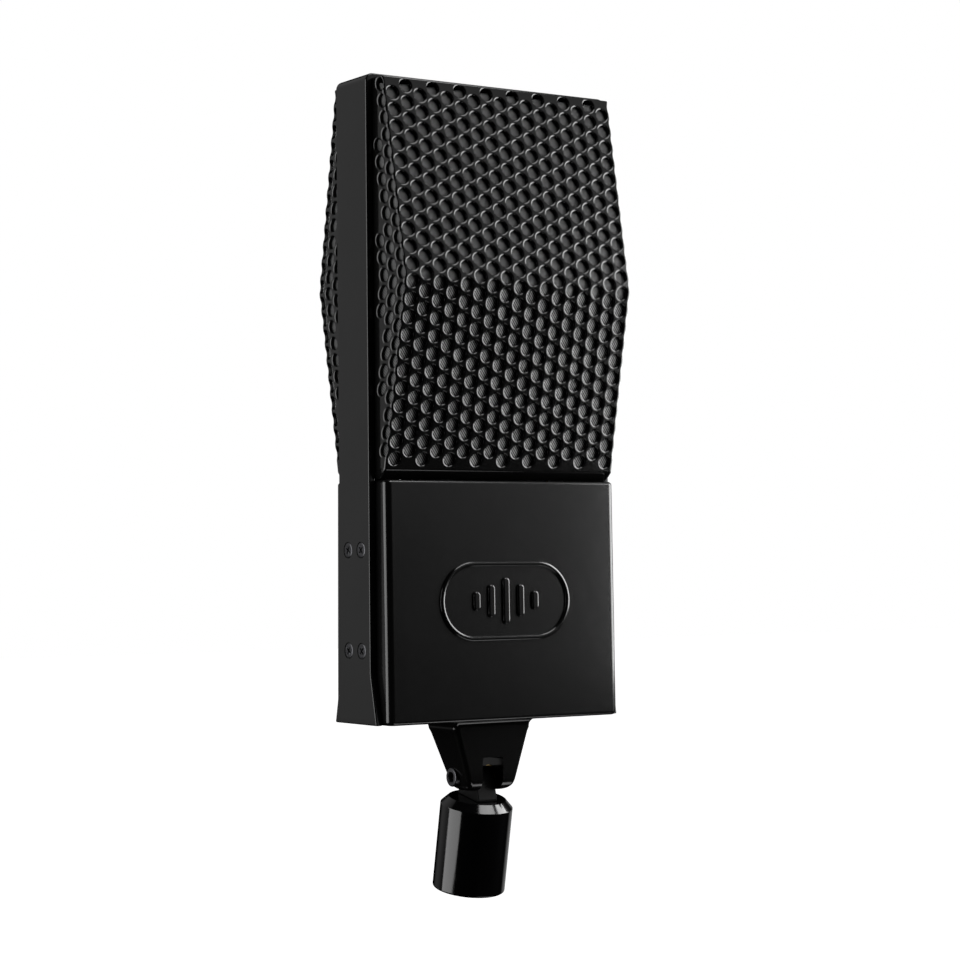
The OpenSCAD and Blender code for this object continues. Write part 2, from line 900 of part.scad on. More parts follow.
// The ribbon's two leads, from its clamps down through the deck to the transformer
module ribbon_leads() {
    low = block_low_z + block_h / 2;
    top = block_top_z + block_h / 2;
    clamp_face = -ribbon_t / 2 - clamp_t - 0.45;
    color(copper_tone) head() {
        wire([[4.5, clamp_face, low + 3], [5, -7.4, low + 3], [28.6, -7.4, low + 3], [30, -3, low - 6],
              [30, -3, 80], [2, -3, 76], [-6, -3, 64]], 0.4);
        wire([[-4.5, clamp_face, top - 3], [-5, -7.4, top - 3], [-28.6, -7.4, top - 5], [-28.6, -7.4, low],
              [-30, -3, low - 6], [-30, -3, 75.5]], 0.4);
    }
}

// ---------------------------------------------------------------- electronics

module chassis_plate() {
    flange_z = deck_z - 1.7;
    color("silver") head() difference() {
        union() {
            block([-plate_half, plate_y, 34], [plate_half, plate_y + plate_t, deck_z - 0.2]);
            block([-42, -4, flange_z], [42, plate_y + eps, deck_z - 0.2]);
        }
        for (x = [-36, 36]) {
            translate([x, 0, 0]) rod_z(1.3, flange_z - over, deck_z);
        }
        for (x = [-30, 30]) {
            translate([x, -3, 0]) rod_z(1.5, flange_z - over, deck_z);
        }
        translate([coil_x, 0, coil_z]) rod_y(m3_r + screw_slack, plate_y - over, plate_y + plate_t + over);
        at_board_corners() rod_y(m3_r - 0.3, plate_y - over, plate_y + plate_t + over);
    }
}

module plate_screws() {
    top = deck_z + deck_t;
    color(plated_steel) head() {
        for (x = [-36, 36]) {
            translate([x, 0, top]) cap_screw(1.25, m3_head_r, 1.8, 5);
        }
        for (x = [-22, 22]) {
            translate([x, 0, top + 1.5]) cap_screw(m3_r, m3_head_r, 1.8, 3.6);
        }
    }
}

module transformer_can() {
    color(plated_steel) head() translate([coil_x, 0, coil_z]) difference() {
        rod_y(coil_r, coil_y + 0.8, plate_y);
        rod_y(coil_r - 0.8, coil_y - over, plate_y - 0.8);
        rod_y(m3_r + screw_slack, coil_y - over, plate_y + over);
        // Lead-in slots at the rim
        for (a = [20, 160]) {
            rotate([0, -a, 0]) block([coil_r - 2, coil_y, -1], [coil_r + 1, coil_y + 4, 1]);
        }
    }
}

module transformer_lid() {
    color(plated_steel) head() translate([coil_x, 0, coil_z]) difference() {
        rod_y(coil_r, coil_y, coil_y + 0.8);
        rod_y(m3_r + screw_slack, coil_y - over, plate_y);
    }
}

// Ring core with its winding, drawn as one round-cornered ring
module transformer_core() {
    mid = (coil_y + plate_y) / 2;
    half = 4.6;
    color(copper_tone) head() translate([coil_x, mid, coil_z]) rotate([90, 0, 0]) rotate_extrude($fn = 64) {
        translate([5.5, -half + 2]) square([9.5, 2 * half - 4]);
        translate([7.5, -half]) square([5.5, 2 * half]);
        for (x = [7.5, 13], y = [-half + 2, half - 2]) {
            translate([x, y]) circle(2);
        }
    }
}

module transformer_bolt() {
    color(plated_steel) head() translate([coil_x, coil_y, coil_z]) rotate([90, 0, 0])
        cap_screw(m3_r, m3_head_r, 1.4, plate_y + plate_t - coil_y + 1.5);
}

module at_board_corners() {
    for (x = [-1, 1], z = [-1, 1]) {
        translate([board_x + x * (board_w / 2 - 4), 0, board_z + z * (board_h / 2 - 4)]) children();
    }
}

module preamp_board() {
    color(board_green) head() difference() {
        block([board_x - board_w / 2, board_y, board_z - board_h / 2],
              [board_x + board_w / 2, board_y + board_t, board_z + board_h / 2]);
        at_board_corners() rod_y(m3_r - 0.3, -5, 5);
    }
}

// Parts standing on the board's front face: capacitors, resistors and amplifier packages
module board_parts() {
    color(plastic_black) head() {
        for (i = [0 : 2]) {
            translate([board_x - 10 + 10 * i, 0, board_z + 8]) rod_y(3.2, board_y - 6, board_y);
        }
        for (i = [0 : 3]) {
            translate([board_x - 12 + 8 * i, board_y - 1.1, board_z - 3]) rod_z(1.1, -3.2, 3.2);
        }
        for (i = [0 : 1]) {
            x0 = board_x - 10 + 14 * i;
            block([x0, board_y - 2.6, board_z - 14], [x0 + 7, board_y, board_z - 9]);
        }
    }
}

module board_standoffs() {
    color(brass_tone) head() at_board_corners() difference() {
        rod_y(2.4, board_y + board_t, plate_y);
        rod_y(m3_r - 0.3, board_y, plate_y + over);
    }
}

module board_screws() {
    color(plated_steel) head() at_board_corners() translate([0, board_y, 0]) rotate([90, 0, 0])
        cap_screw(1.15, 2.1, 1.6, 7);
}

module xlr_shell() {
    color(dark_steel) head() translate([xlr_x, 0, 0]) difference() {
        union() {
            rod_z(xlr_shell_r, base_z, 24);
            intersection() {
                block([-15.5, -13, base_top], [15.5, 13, base_top + 2]);
                rod_z(18, 0, 10);
            }
        }
        rod_z(xlr_bore_r, base_z - over, 25);
        for (side = [-1, 1]) {
            translate([side * 12, -side * 9.5, 0]) rod_z(1.25, base_top - over, base_top + 3);
        }
    }
}

module xlr_insert() {
    color(plastic_black) head() translate([xlr_x, 0, 0]) difference() {
        rod_z(xlr_bore_r, xlr_depth, 24);
        at_pins() rod_z(pin_r, xlr_depth - over, 25);
    }
}

module at_pins() {
    for (a = pin_angles) {
        rotate(a) translate([pin_ring_r, 0, 0]) children();
    }
}

module xlr_pins() {
    color(plated_steel) head() translate([xlr_x, 0, 0]) at_pins() {
        rod_z(pin_r, 3.6, 27);
        translate([0, 0, 3.6]) sphere(pin_r);
    }
}

module xlr_screws() {
    color(plated_steel) head() for (side = [-1, 1]) {
        translate([xlr_x + side * 12, -side * 9.5, base_top + 2]) cap_screw(1.2, 2.2, 1.4, 4.6);
    }
}

// Three wires from the board's lower edge to the connector's solder cups
module signal_leads() {
    color(copper_tone) head() for (i = [0 : 2]) {
        a = pin_angles[i];
        tip = [xlr_x + pin_ring_r * cos(a), pin_ring_r * sin(a), 27];
        x0 = board_x + 4 + 5 * i;
        wire([[x0, board_y - 0.6, board_z - board_h / 2 + 2], [x0, board_y - 1.2, 33], tip + [0, 0, 3], tip], 0.5);
    }
}

module switch_body() {
    room = knob_l / 2 + switch_travel / 2 + 1.5;
    color(plated_steel) head() translate([switch_x, 0, 0]) difference() {
        union() {
            block([-9.5, -3.8, base_top], [9.5, 3.8, base_top + 7]);
            block([-14.4, -3.8, base_top], [14.4, 3.8, base_top + 0.8]);
        }
        block([-room, -knob_w / 2 - 1.1, base_top - over], [room, knob_w / 2 + 1.1, base_top + 3.2]);
        for (x = [-12, 12]) {
            translate([x, 0, 0]) rod_z(0.85, base_top - over, base_top + 3);
        }
    }
}

module switch_slider() {
    x0 = -switch_travel / 2;
    grips = 3;
    color(plastic_black) head() translate([switch_x + x0, 0, 0]) difference() {
        union() {
            block([-knob_l / 2, -knob_w / 2, 0.6], [knob_l / 2, knob_w / 2, base_top + 1]);
            block(
                [-knob_l / 2 - 1, -knob_w / 2 - 0.7, base_top + 0.35],
                [knob_l / 2 + 1, knob_w / 2 + 0.7, base_top + 2.8]
            );
        }
        for (i = [0 : grips - 1]) {
            block([-1.35 + i * 1.1, -knob_w, 0], [-0.85 + i * 1.1, knob_w, 1]);
        }
    }
}

module switch_screws() {
    color(plated_steel) head() for (x = [-12, 12]) {
        translate([switch_x + x, 0, base_top + 0.8]) cap_screw(0.8, 1.5, 1.1, 3.6);
    }
}

chassis_band();
base_bracket();
deck_bracket();
cover_front();
cover_rear();
grille_front();
grille_rear();
screen_front();
screen_rear();
grille_rails();
band_screws_left();
band_screws_right();
clinch_nuts();
mount_lug();
lug_screws();
pivot_screw();
friction_washers();
swivel_tongue();
stand_collar();
thread_bush();
collar_screw();
pole_piece_left();
pole_piece_right();
magnets_left();
magnets_right();
yoke_left();
yoke_right();
motor_block_top();
motor_block_bottom();
motor_screws();
ribbon();
clamp_insulators();
ribbon_clamps();
clamp_screws();
motor_hanger();
motor_foot();
motor_isolators();
ribbon_leads();
chassis_plate();
plate_screws();
transformer_can();
transformer_lid();
transformer_core();
transformer_bolt();
preamp_board();
board_parts();
board_standoffs();
board_screws();
xlr_shell();
xlr_insert();
xlr_pins();
xlr_screws();
signal_leads();
switch_body();
switch_slider();
switch_screws();
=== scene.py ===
"""Ribbon microphone: the looks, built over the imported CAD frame.

Sizes are millimetres in two local frames, and metres outside them.
The head's frame has its zero in the middle of the head's underside, the stem's frame in the thread's mouth.
"""

import json
import math

import bmesh
import bpy
from mathutils import Matrix, Vector
from mathutils.geometry import delaunay_2d_cdt


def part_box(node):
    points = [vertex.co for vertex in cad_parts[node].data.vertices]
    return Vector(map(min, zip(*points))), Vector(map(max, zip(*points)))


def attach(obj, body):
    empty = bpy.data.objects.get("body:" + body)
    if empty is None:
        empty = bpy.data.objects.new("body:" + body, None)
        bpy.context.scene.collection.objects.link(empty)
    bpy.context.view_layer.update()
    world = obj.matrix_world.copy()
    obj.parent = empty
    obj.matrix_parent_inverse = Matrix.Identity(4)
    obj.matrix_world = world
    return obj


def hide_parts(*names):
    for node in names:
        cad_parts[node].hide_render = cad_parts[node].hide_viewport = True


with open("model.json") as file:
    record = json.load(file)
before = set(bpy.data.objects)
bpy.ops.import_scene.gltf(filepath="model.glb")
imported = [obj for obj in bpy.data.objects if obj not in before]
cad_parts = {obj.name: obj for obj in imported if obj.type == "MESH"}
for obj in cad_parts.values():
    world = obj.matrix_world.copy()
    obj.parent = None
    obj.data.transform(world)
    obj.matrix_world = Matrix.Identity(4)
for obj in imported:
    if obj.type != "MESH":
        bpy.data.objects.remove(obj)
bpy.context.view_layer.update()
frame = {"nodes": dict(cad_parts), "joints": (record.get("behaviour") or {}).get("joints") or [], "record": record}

MM = 0.001
TAU = 2 * math.pi

# ---------------------------------------------------------------- sizes, from the frame

band_low, band_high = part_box("chassis_band")
rear_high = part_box("cover_rear")[1]
grille_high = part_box("grille_rear")[1]
head_zero = Vector((0, (band_low.y + band_high.y) / 2, band_low.z))
thread = next(m for m in frame["record"]["mounts"] if m["name"] == "stand_thread")
tilt_joint = next(j for j in frame["joints"] if j["name"] == "head_tilt")
stem_up = -Vector(thread["axis"])
stem_turn = Vector((0, 0, 1)).rotation_difference(stem_up).to_matrix()

BODY_W = (band_high.x - band_low.x) / MM
BODY_H = (band_high.z - band_low.z) / MM
FLARE_HALF = (band_high.y - band_low.y) / 2 / MM
BAND_HALF = 10.75
BAND_WALL = 2.5
BAND_BEND = 3
FLARE_H = 18
SCREW_Y = 4.55
SCREW_Z = (26.3, 62.5)

COVER_X = rear_high.x / MM
COVER_H = (rear_high.z - head_zero.z) / MM
COVER_LOW = (rear_high.y - head_zero.y) / MM
COVER_TOP = COVER_LOW - 1.2
COVER_WALL = 1.5
COVER_EDGE = 2.5

RIDGE = Vector((-(grille_high.y - head_zero.y) / MM, 158.9))
FOLD_TOP = Vector((-17.1, BODY_H - 2.1))
FOLD_LOW = Vector((-17.1, COVER_H + 4))
CREASE_X = BODY_W / 2 - 3.5
SIDE_LEAN = 0.8 / 21
SHEET = 1.2
HOLE_R = 2.35
HOLE_PITCH = 6.36
COLUMN = 0.9 * HOLE_PITCH
COLUMNS = 8
RIDGE_ROW = 1.5

STEM_LEN = Vector(tilt_joint["pos_m"]).length / MM
PIVOT_DROP = (head_zero.z - tilt_joint["pos_m"][2]) / MM
COLLAR_R = 13.5
COLLAR_TOP = STEM_LEN - 8.3
THREAD_R = thread["dims"]["r_mm"]
THREAD_LEN = thread["dims"]["length_mm"]


def head(x, y, z):
    """A point of the head's frame, in the row frame."""
    return head_zero + Vector((x, y, z)) * MM


def stem(x, y, z):
    """A point of the stem's frame, in the row frame."""
    return stem_turn @ (Vector((x, y, z)) * MM)


# ---------------------------------------------------------------- materials


class Paint:
    """A Principled material whose colour, roughness and relief come from procedural nodes."""

    def __init__(self, name, **fixed):
        self.material = bpy.data.materials.new(name)
        self.material.use_nodes = True
        self.tree = self.material.node_tree
        self.shader = self.tree.nodes["Principled BSDF"]
        for socket, value in fixed.items():
            self.shader.inputs[socket.replace("_", " ")].default_value = value

    def node(self, kind, **settings):
        made = self.tree.nodes.new(kind)
        for key, value in settings.items():
            setattr(made, key, value)
        return made

    def link(self, a, b):
        self.tree.links.new(a, b)

    def places(self, stretch=(1, 1, 1), turn=(0, 0, 0)):
        """Object coordinates, turned and stretched."""
        source = self.node("ShaderNodeTexCoord")
        mapping = self.node("ShaderNodeMapping")
        mapping.inputs["Scale"].default_value = stretch
        mapping.inputs["Rotation"].default_value = turn
        self.link(source.outputs["Object"], mapping.inputs["Vector"])
        return mapping.outputs["Vector"]

    def noise(self, scale, places=None, detail=3.0):
        made = self.node("ShaderNodeTexNoise")
        made.inputs["Scale"].default_value = scale
        made.inputs["Detail"].default_value = detail
        self.link(places or self.places(), made.inputs["Vector"])
        return made.outputs["Fac"]

    def span(self, value, low, high, start=0.3, end=0.7):
        """value from start to end, mapped onto low to high."""
        made = self.node("ShaderNodeMapRange")
        for socket, number in zip(("From Min", "From Max", "To Min", "To Max"), (start, end, low, high)):
            made.inputs[socket].default_value = number
        self.link(value, made.inputs["Value"])
        return made.outputs["Result"]

    def ramp(self, value, *stops):
        """Colours along value, as (place, colour) stops."""
        made = self.node("ShaderNodeValToRGB")
        points = made.color_ramp.elements
        while len(points) < len(stops):
            points.new(0.5)
        for point, (place, colour) in zip(points, stops):
            point.position = place
            point.color = (*colour, 1)
        self.link(value, made.inputs["Fac"])
        return made.outputs["Color"]

    def colour(self, value):
        self.link(value, self.shader.inputs["Base Color"])

    def roughness(self, value):
        self.link(value, self.shader.inputs["Roughness"])

    def relief(self, *heights):
        """Bumps, each as (height value, depth in metres), one on another."""
        below = None
        for height, depth in heights:
            made = self.node("ShaderNodeBump")
            made.inputs["Distance"].default_value = depth
            self.link(height, made.inputs["Height"])
            if below:
                self.link(below, made.inputs["Normal"])
            below = made.outputs["Normal"]
        self.link(below, self.shader.inputs["Normal"])


def grey(level, warm=0.0):
    return (level + warm, level, level - warm / 2)


def enamel(name, level, rough, peel):
    """Sprayed black enamel: a faint orange peel, and a sheen that varies a little."""
    paint = Paint(name, IOR=1.5)
    broad = paint.noise(38, detail=4)
    paint.colour(paint.ramp(broad, (0.3, grey(level * 0.8)), (0.7, grey(level * 1.25))))
    paint.roughness(paint.span(paint.noise(300), rough * 0.94, rough * 1.08))
    paint.relief((paint.noise(700, detail=2), peel), (paint.noise(2600, detail=1), peel * 0.25))
    return paint.material


def oxide(name):
    """Chemically blackened steel: dull, and a little blotchy."""
    paint = Paint(name, IOR=1.5, Specular_IOR_Level=0.08)
    blotch = paint.noise(220, detail=4)
    paint.colour(paint.ramp(blotch, (0.3, grey(0.0012)), (0.7, grey(0.003))))
    paint.roughness(paint.span(blotch, 0.35, 0.5))
    paint.relief((paint.noise(1800, detail=2), 0.000004))
    return paint.material


def turned(name, colour, rough, metallic, axis_turn=(0, 0, 0)):
    """Metal from the lathe: fine rings around the part's own axis."""
    paint = Paint(name, Metallic=metallic, IOR=1.5)
    rings = paint.noise(1, paint.places((40, 40, 9000), axis_turn), detail=2)
    broad = paint.noise(60)
    paint.colour(paint.ramp(broad, (0.3, tuple(c * 0.85 for c in colour)), (0.7, colour)))
    paint.roughness(paint.span(broad, rough * 0.8, rough * 1.3))
    paint.relief((rings, 0.0000012))
    return paint.material


def metal(name, colour, rough, grain=(1, 1, 30), depth=0.000004):
    """Rolled or plated metal, with a grain along one direction and a few darker stains."""
    paint = Paint(name, Metallic=1.0)
    grains = paint.noise(160, paint.places(grain), detail=5)
    stain = paint.noise(45, detail=5)
    paint.colour(paint.ramp(stain, (0.25, tuple(c * 0.72 for c in colour)), (0.62, colour)))
    paint.roughness(paint.span(grains, rough * 0.75, rough * 1.3))
    paint.relief((grains, depth))
    return paint.material


def plastic(name, colour, rough, depth=0.00001):
    """Moulded plastic or rubber, with a fine spark-eroded grain."""
    paint = Paint(name, IOR=1.47)
    fine = paint.noise(1500, detail=4)
    dark, light = tuple(c * 0.8 for c in colour), tuple(c * 1.2 for c in colour)
    paint.colour(paint.ramp(paint.noise(90), (0.3, dark), (0.7, light)))
    paint.roughness(paint.span(fine, rough * 0.85, rough * 1.15))
    paint.relief((fine, depth))
    return paint.material


def board_resist(name):
    """Green solder resist with copper tracks showing through it."""
    paint = Paint(name, Roughness=0.32, IOR=1.5)
    tracks = paint.node("ShaderNodeTexBrick")
    tracks.inputs["Scale"].default_value = 190
    tracks.inputs["Mortar Size"].default_value = 0.03
    tracks.inputs["Color1"].default_value = (0.004, 0.045, 0.018, 1)
    tracks.inputs["Color2"].default_value = (0.005, 0.06, 0.024, 1)
    tracks.inputs["Mortar"].default_value = (0.02, 0.14, 0.05, 1)
    paint.link(paint.places(turn=(math.pi / 2, 0, 0)), tracks.inputs["Vector"])
    paint.colour(tracks.outputs["Color"])
    paint.relief((tracks.outputs["Fac"], 0.00003))
    return paint.material


def winding(name):
    """Enamelled copper wire wound side by side, with painted shade in the grooves between the turns and a painted
    highlight on their crowns.
    """
    paint = Paint(name, Metallic=0.6)
    wave = paint.node("ShaderNodeTexWave")
    wave.inputs["Scale"].default_value = 420
    wave.inputs["Distortion"].default_value = 0.6
    paint.link(paint.places(), wave.inputs["Vector"])
    # painted shade and painted highlight: the colour runs from dark in the grooves between the turns to light on
    # their crowns
    paint.colour(paint.ramp(wave.outputs["Fac"], (0.0, (0.12, 0.035, 0.012)), (1.0, (0.5, 0.2, 0.08))))
    paint.roughness(paint.span(paint.noise(200), 0.25, 0.4))
    paint.relief((wave.outputs["Fac"], 0.00012))
    return paint.material


CLOTH_PITCH = 0.0007


def wire_cloth(name):
    """Blackened wire cloth: two sets of wires on the slant, one riding higher, with light on their crowns."""
    paint = Paint(name, Metallic=0.8)
    source = paint.node("ShaderNodeTexCoord")
    waves = []
    for way, share in (((1, 1, 1), 0.5), ((1, -1, -1), 0.2)):
        along = paint.node("ShaderNodeVectorMath", operation="DOT_PRODUCT")
        along.inputs[1].default_value = Vector(way) * (TAU / CLOTH_PITCH / math.sqrt(2))
        paint.link(source.outputs["Object"], along.inputs[0])
        wave = paint.node("ShaderNodeMath", operation="SINE")
        paint.link(along.outputs["Value"], wave.inputs[0])
        lift = paint.node("ShaderNodeMath", operation="MULTIPLY_ADD")
        lift.inputs[1].default_value = share
        lift.inputs[2].default_value = share
        paint.link(wave.outputs[0], lift.inputs[0])
        waves.append(lift.outputs[0])
    height = paint.node("ShaderNodeMath", operation="MAXIMUM")
    paint.link(waves[0], height.inputs[0])
    paint.link(waves[1], height.inputs[1])
    weave = height.outputs[0]
    paint.colour(paint.ramp(weave, (0.15, grey(0.004)), (0.7, grey(0.11)), (1.0, grey(0.2))))
    paint.roughness(paint.span(paint.noise(140), 0.42, 0.6))
    paint.relief((weave, 0.0001))
    return paint.material


head_paint = enamel("head_enamel", 0.0035, 0.15, 0.000005)
band_paint = enamel("band_enamel", 0.004, 0.16, 0.000005)
grille_paint = enamel("grille_enamel", 0.0035, 0.13, 0.000003)
gloss_black = turned("turned_black", (0.0015, 0.0015, 0.0016), 0.1, 0.0)
dull_black = oxide("black_oxide")
lug_paint = enamel("lug_enamel", 0.003, 0.16, 0.000004)
screw_black = metal("black_oxide", (0.075, 0.075, 0.08), 0.3, depth=0.000003)
cloth_metal = wire_cloth("wire_cloth")
SLOTS = {
    "black_paint": head_paint,
    "black_gloss": gloss_black,
    "black_screw": screw_black,
    "mesh_cloth": cloth_metal,
    "dark_metal": metal("dark_plate", (0.085, 0.085, 0.09), 0.42, (30, 1, 1)),
    "steel": metal("zinc_steel", (0.55, 0.55, 0.57), 0.3),
    "magnet": metal("nickel", (0.5, 0.49, 0.47), 0.16, depth=0.000002),
    "aluminium": metal("milled_aluminium", (0.68, 0.68, 0.7), 0.34, (1, 30, 1)),
    "foil": metal("ribbon_foil", (0.8, 0.8, 0.82), 0.2, (40, 1, 1)),
    "brass": turned("turned_brass", (0.62, 0.44, 0.17), 0.24, 1.0),
    "black_plastic": plastic("moulded_black", (0.012, 0.012, 0.013), 0.42),
    "board": board_resist("board_resist"),
    "winding": winding("copper_winding"),
    "rubber": plastic("rubber", (0.02, 0.02, 0.02), 0.75, 0.00003),
}
for part in frame["record"]["subparts"]:
    mesh = frame["nodes"][part["node"]].data
    mesh.materials.clear()
    mesh.materials.append(SLOTS[part["material_slot"]])

# ---------------------------------------------------------------- mesh helpers


def link(name, mesh, material):
    made = bpy.data.objects.new(name, mesh)
    bpy.context.scene.collection.objects.link(made)
    mesh.materials.clear()
    mesh.materials.append(material)
    return made


def apply_modifiers(obj):
    """The object's mesh with its modifiers worked in."""
    graph = bpy.context.evaluated_depsgraph_get()
    mesh = bpy.data.meshes.new_from_object(obj.evaluated_get(graph))
    obj.modifiers.clear()
    old = obj.data
    obj.data = mesh
    bpy.data.meshes.remove(old)


def solid(points, faces):
    """A closed mesh from points in metres; its faces are turned outward and doubles are merged."""
    mesh = bpy.data.meshes.new("solid")
    mesh.from_pydata(points, [], faces)
    bm = bmesh.new()
    bm.from_mesh(mesh)
    bmesh.ops.remove_doubles(bm, verts=bm.verts, dist=1e-7)
    bmesh.ops.recalc_face_normals(bm, faces=bm.faces)
    bm.to_mesh(mesh)
    bm.free()
    return mesh


def loft(sections, close_ends=True, ring=True):
    """A mesh through equal sections, each a list of points in metres."""
    count = len(sections[0])
    points = [p for section in sections for p in section]
    faces = []
    for i in range(len(sections) - 1):
        for k in range(count if ring else count - 1):
            a, b = i * count + k, i * count + (k + 1) % count
            faces.append((a, b, b + count, a + count))
    if close_ends:
        faces.append(tuple(range(count)))
        faces.append(tuple(range(len(points) - count, len(points))))
    return solid(points, faces)


def lathe(profile, place, turns=96):
    """A closed profile of (radius, height) turned about its own Z."""
    sections = []
    for i in range(turns):
        c, s = math.cos(TAU * i / turns), math.sin(TAU * i / turns)
        sections.append([place(r * c, r * s, z) for r, z in profile])
    return loft(sections + sections[:1], close_ends=False)


def arc(cx, cy, r, start, end, steps=6):
    """Points of an arc, in degrees."""
    turns = [math.radians(start + (end - start) * i / steps) for i in range(steps + 1)]
    return [(cx + r * math.cos(a), cy + r * math.sin(a)) for a in turns]


def cut(obj, *tools):
    """obj minus the tool meshes."""
    for mesh in tools:
        tool = bpy.data.objects.new("tool", mesh)
        bpy.context.scene.collection.objects.link(tool)
        step = obj.modifiers.new("cut", "BOOLEAN")
        step.operation = "DIFFERENCE"
        step.solver = "EXACT"
        step.object = tool
        apply_modifiers(obj)
        bpy.data.objects.remove(tool)
        bpy.data.meshes.remove(mesh)


def dress(obj, body, *nodes, bevel=0.0, angle=35, slot=None):
    """Shades obj, eases its sharp edges, and puts it on its body in place of its CAD nodes."""
    if bevel:
        step = obj.modifiers.new("ease", "BEVEL")
        step.width = bevel * MM
        step.segments = 3
        step.limit_method = "ANGLE"
        step.angle_limit = math.radians(angle)
        step.use_clamp_overlap = True
        apply_modifiers(obj)
    mesh = obj.data
    mesh.shade_smooth()
    mesh.set_sharp_from_angle(angle=math.radians(angle))
    even = obj.modifiers.new("even", "WEIGHTED_NORMAL")
    even.keep_sharp = True
    even.weight = 60
    apply_modifiers(obj)
    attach(obj, body)
    if nodes:
        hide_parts(*nodes)
    return obj


def block(low, high, place=head):
    """A box between two corners, as a tool or a plain solid."""
    corners = [place(x, y, z) for z in (low[2], high[2]) for x, y in
               ((low[0], low[1]), (high[0], low[1]), (high[0], high[1]), (low[0], high[1]))]
    return loft([corners[:4], corners[4:]])


def rod(r1, r2, start, end, across, up, place=head, sides=48):
    """A round tool from start to end, with radius r1 there and r2 here."""
    sections = []
    for r, centre in ((r1, start), (r2, end)):
        ring = []
        for i in range(sides):
            a = TAU * i / sides
            arm = math.cos(a) * Vector(across) + math.sin(a) * Vector(up)
            ring.append(place(*(Vector(centre) + r * arm)))
        sections.append(ring)
    return loft(sections)


Y_AXIS, Z_AXIS = (0, 1, 0), (0, 0, 1)

# ---------------------------------------------------------------- chassis band


def band_section(half, inset):
    """The strip's cross-section as (across, inward) points, with eased corners."""
    h, t = half - inset, BAND_WALL - inset
    soft, tight = 0.55, 0.3
    return (arc(-h + soft, inset + soft, soft, 180, 270) + arc(h - soft, inset + soft, soft, 270, 360)
            + arc(h - tight, t - tight, tight, 0, 90) + arc(-h + tight, t - tight, tight, 90, 180))


def band_half(z):
    """Half the band's depth at a height: it flares below FLARE_H, with a soft bend."""
    soft = 0.8
    slope = (FLARE_HALF - BAND_HALF) / FLARE_H
    below = max(0.0, FLARE_H - z)
    if abs(z - FLARE_H) < soft:
        below = (FLARE_H + soft - z) ** 2 / (4 * soft)
    return BAND_HALF + slope * below


def build_band():
    ease = 0.45
    low = [(z, ease - math.sqrt(ease**2 - (ease - z) ** 2)) for z in (0, 0.08, 0.2, ease)]
    heights = [2, 5, 8, 11, 14, 16.5, 17.2, 17.6, 18, 18.4, 18.8, 20]
    heights += [BODY_H - BAND_BEND - 190 + i * 19 for i in range(11)]
    half_w = BODY_W / 2
    side = [((-half_w, z), (1, 0), inset) for z, inset in low] + [((-half_w, z), (1, 0), 0) for z in heights]
    bend = []
    for x, z in arc(-half_w + BAND_BEND, BODY_H - BAND_BEND, BAND_BEND, 180, 90, 10)[1:]:
        inward = ((-half_w + BAND_BEND - x) / BAND_BEND, (BODY_H - BAND_BEND - z) / BAND_BEND)
        bend.append(((x, z), inward, 0))
    left = side + bend
    right = [((-x, z), (-nx, nz), inset) for (x, z), (nx, nz), inset in reversed(left)]
    sections = []
    for (x, z), (nx, nz), inset in left + right:
        points = band_section(band_half(z), inset)
        sections.append([head(x + b * nx, a, z + b * nz) for a, b in points])
    band = link("band", loft(sections), band_paint)
    tools = []
    for sign in (-1, 1):
        for z in SCREW_Z:
            for y in (-SCREW_Y, SCREW_Y):
                face, deep = sign * (half_w + 0.3), sign * (half_w - 1.6)
                tools.append(rod(3.25, 1.6, (face, y, z), (deep, y, z), Y_AXIS, Z_AXIS))
                near, far = sign * (half_w - 1), sign * (half_w - 4)
                tools.append(rod(1.6, 1.6, (near, y, z), (far, y, z), Y_AXIS, Z_AXIS))
    cut(band, *tools)
    return dress(band, "head", "chassis_band", slot="black_paint")


def screw_head(sign, y, z):
    """A countersunk head with a cross recess, flush with the band's side."""
    face = BODY_W / 2
    profile = [(2.2, 0.02), (2.62, 0.06), (2.74, 0.16), (2.74, 0.3)]
    profile += [(1.5, 1.55), (1.5, 6.0), (0.001, 6.0), (0.001, 0.0)]

    def place(x, v, depth):
        return head(sign * (face - 0.04 - depth), y + x, z + v)

    obj = link("screw", lathe(profile, place, 40), screw_black)
    turn = math.radians(45 + 13 * sign * (y > 0))
    for quarter in (0, 1):
        a = turn + quarter * math.pi / 2
        along, over = Vector((math.cos(a), math.sin(a))), Vector((-math.sin(a), math.cos(a)))
        rings = []
        for reach, wide, depth in ((1.62, 0.34, -0.3), (1.5, 0.3, 0.2), (0.5, 0.22, 1.5)):
            corners = [reach * along + wide * over, -reach * along + wide * over,
                       -reach * along - wide * over, reach * along - wide * over]
            rings.append([place(c.x, c.y, depth) for c in corners])
        cut(obj, loft(rings))
    return obj


def build_band_screws():
    for side, sign in (("left", -1), ("right", 1)):
        heads = [screw_head(sign, y, z) for z in SCREW_Z for y in (-SCREW_Y, SCREW_Y)]
        bm = bmesh.new()
        for obj in heads:
            bm.from_mesh(obj.data)
            bpy.data.objects.remove(obj)
        mesh = bpy.data.meshes.new("screws")
        bm.to_mesh(mesh)
        bm.free()
        dress(link(f"side_screws_{side}", mesh, screw_black), "head", f"band_screws_{side}", bevel=0.05,
              slot="black_screw")


# ---------------------------------------------------------------- covers


def cover_ring(z, inset, radius, back, turn=1):
    """The cover's plan at a height, shrunk by inset; its front leans in towards the top."""
    x = COVER_X - inset
    y = COVER_LOW + (COVER_TOP - COVER_LOW) * z / COVER_H - inset
    right = arc(x - radius, -y + radius, radius, 0, -90, 10)
    left = arc(-x + radius, -y + radius, radius, -90, -180, 10)
    points = [(x, back)] + right + left + [(-x, back)]
    return [head(turn * px, turn * py, z) for px, py in points]


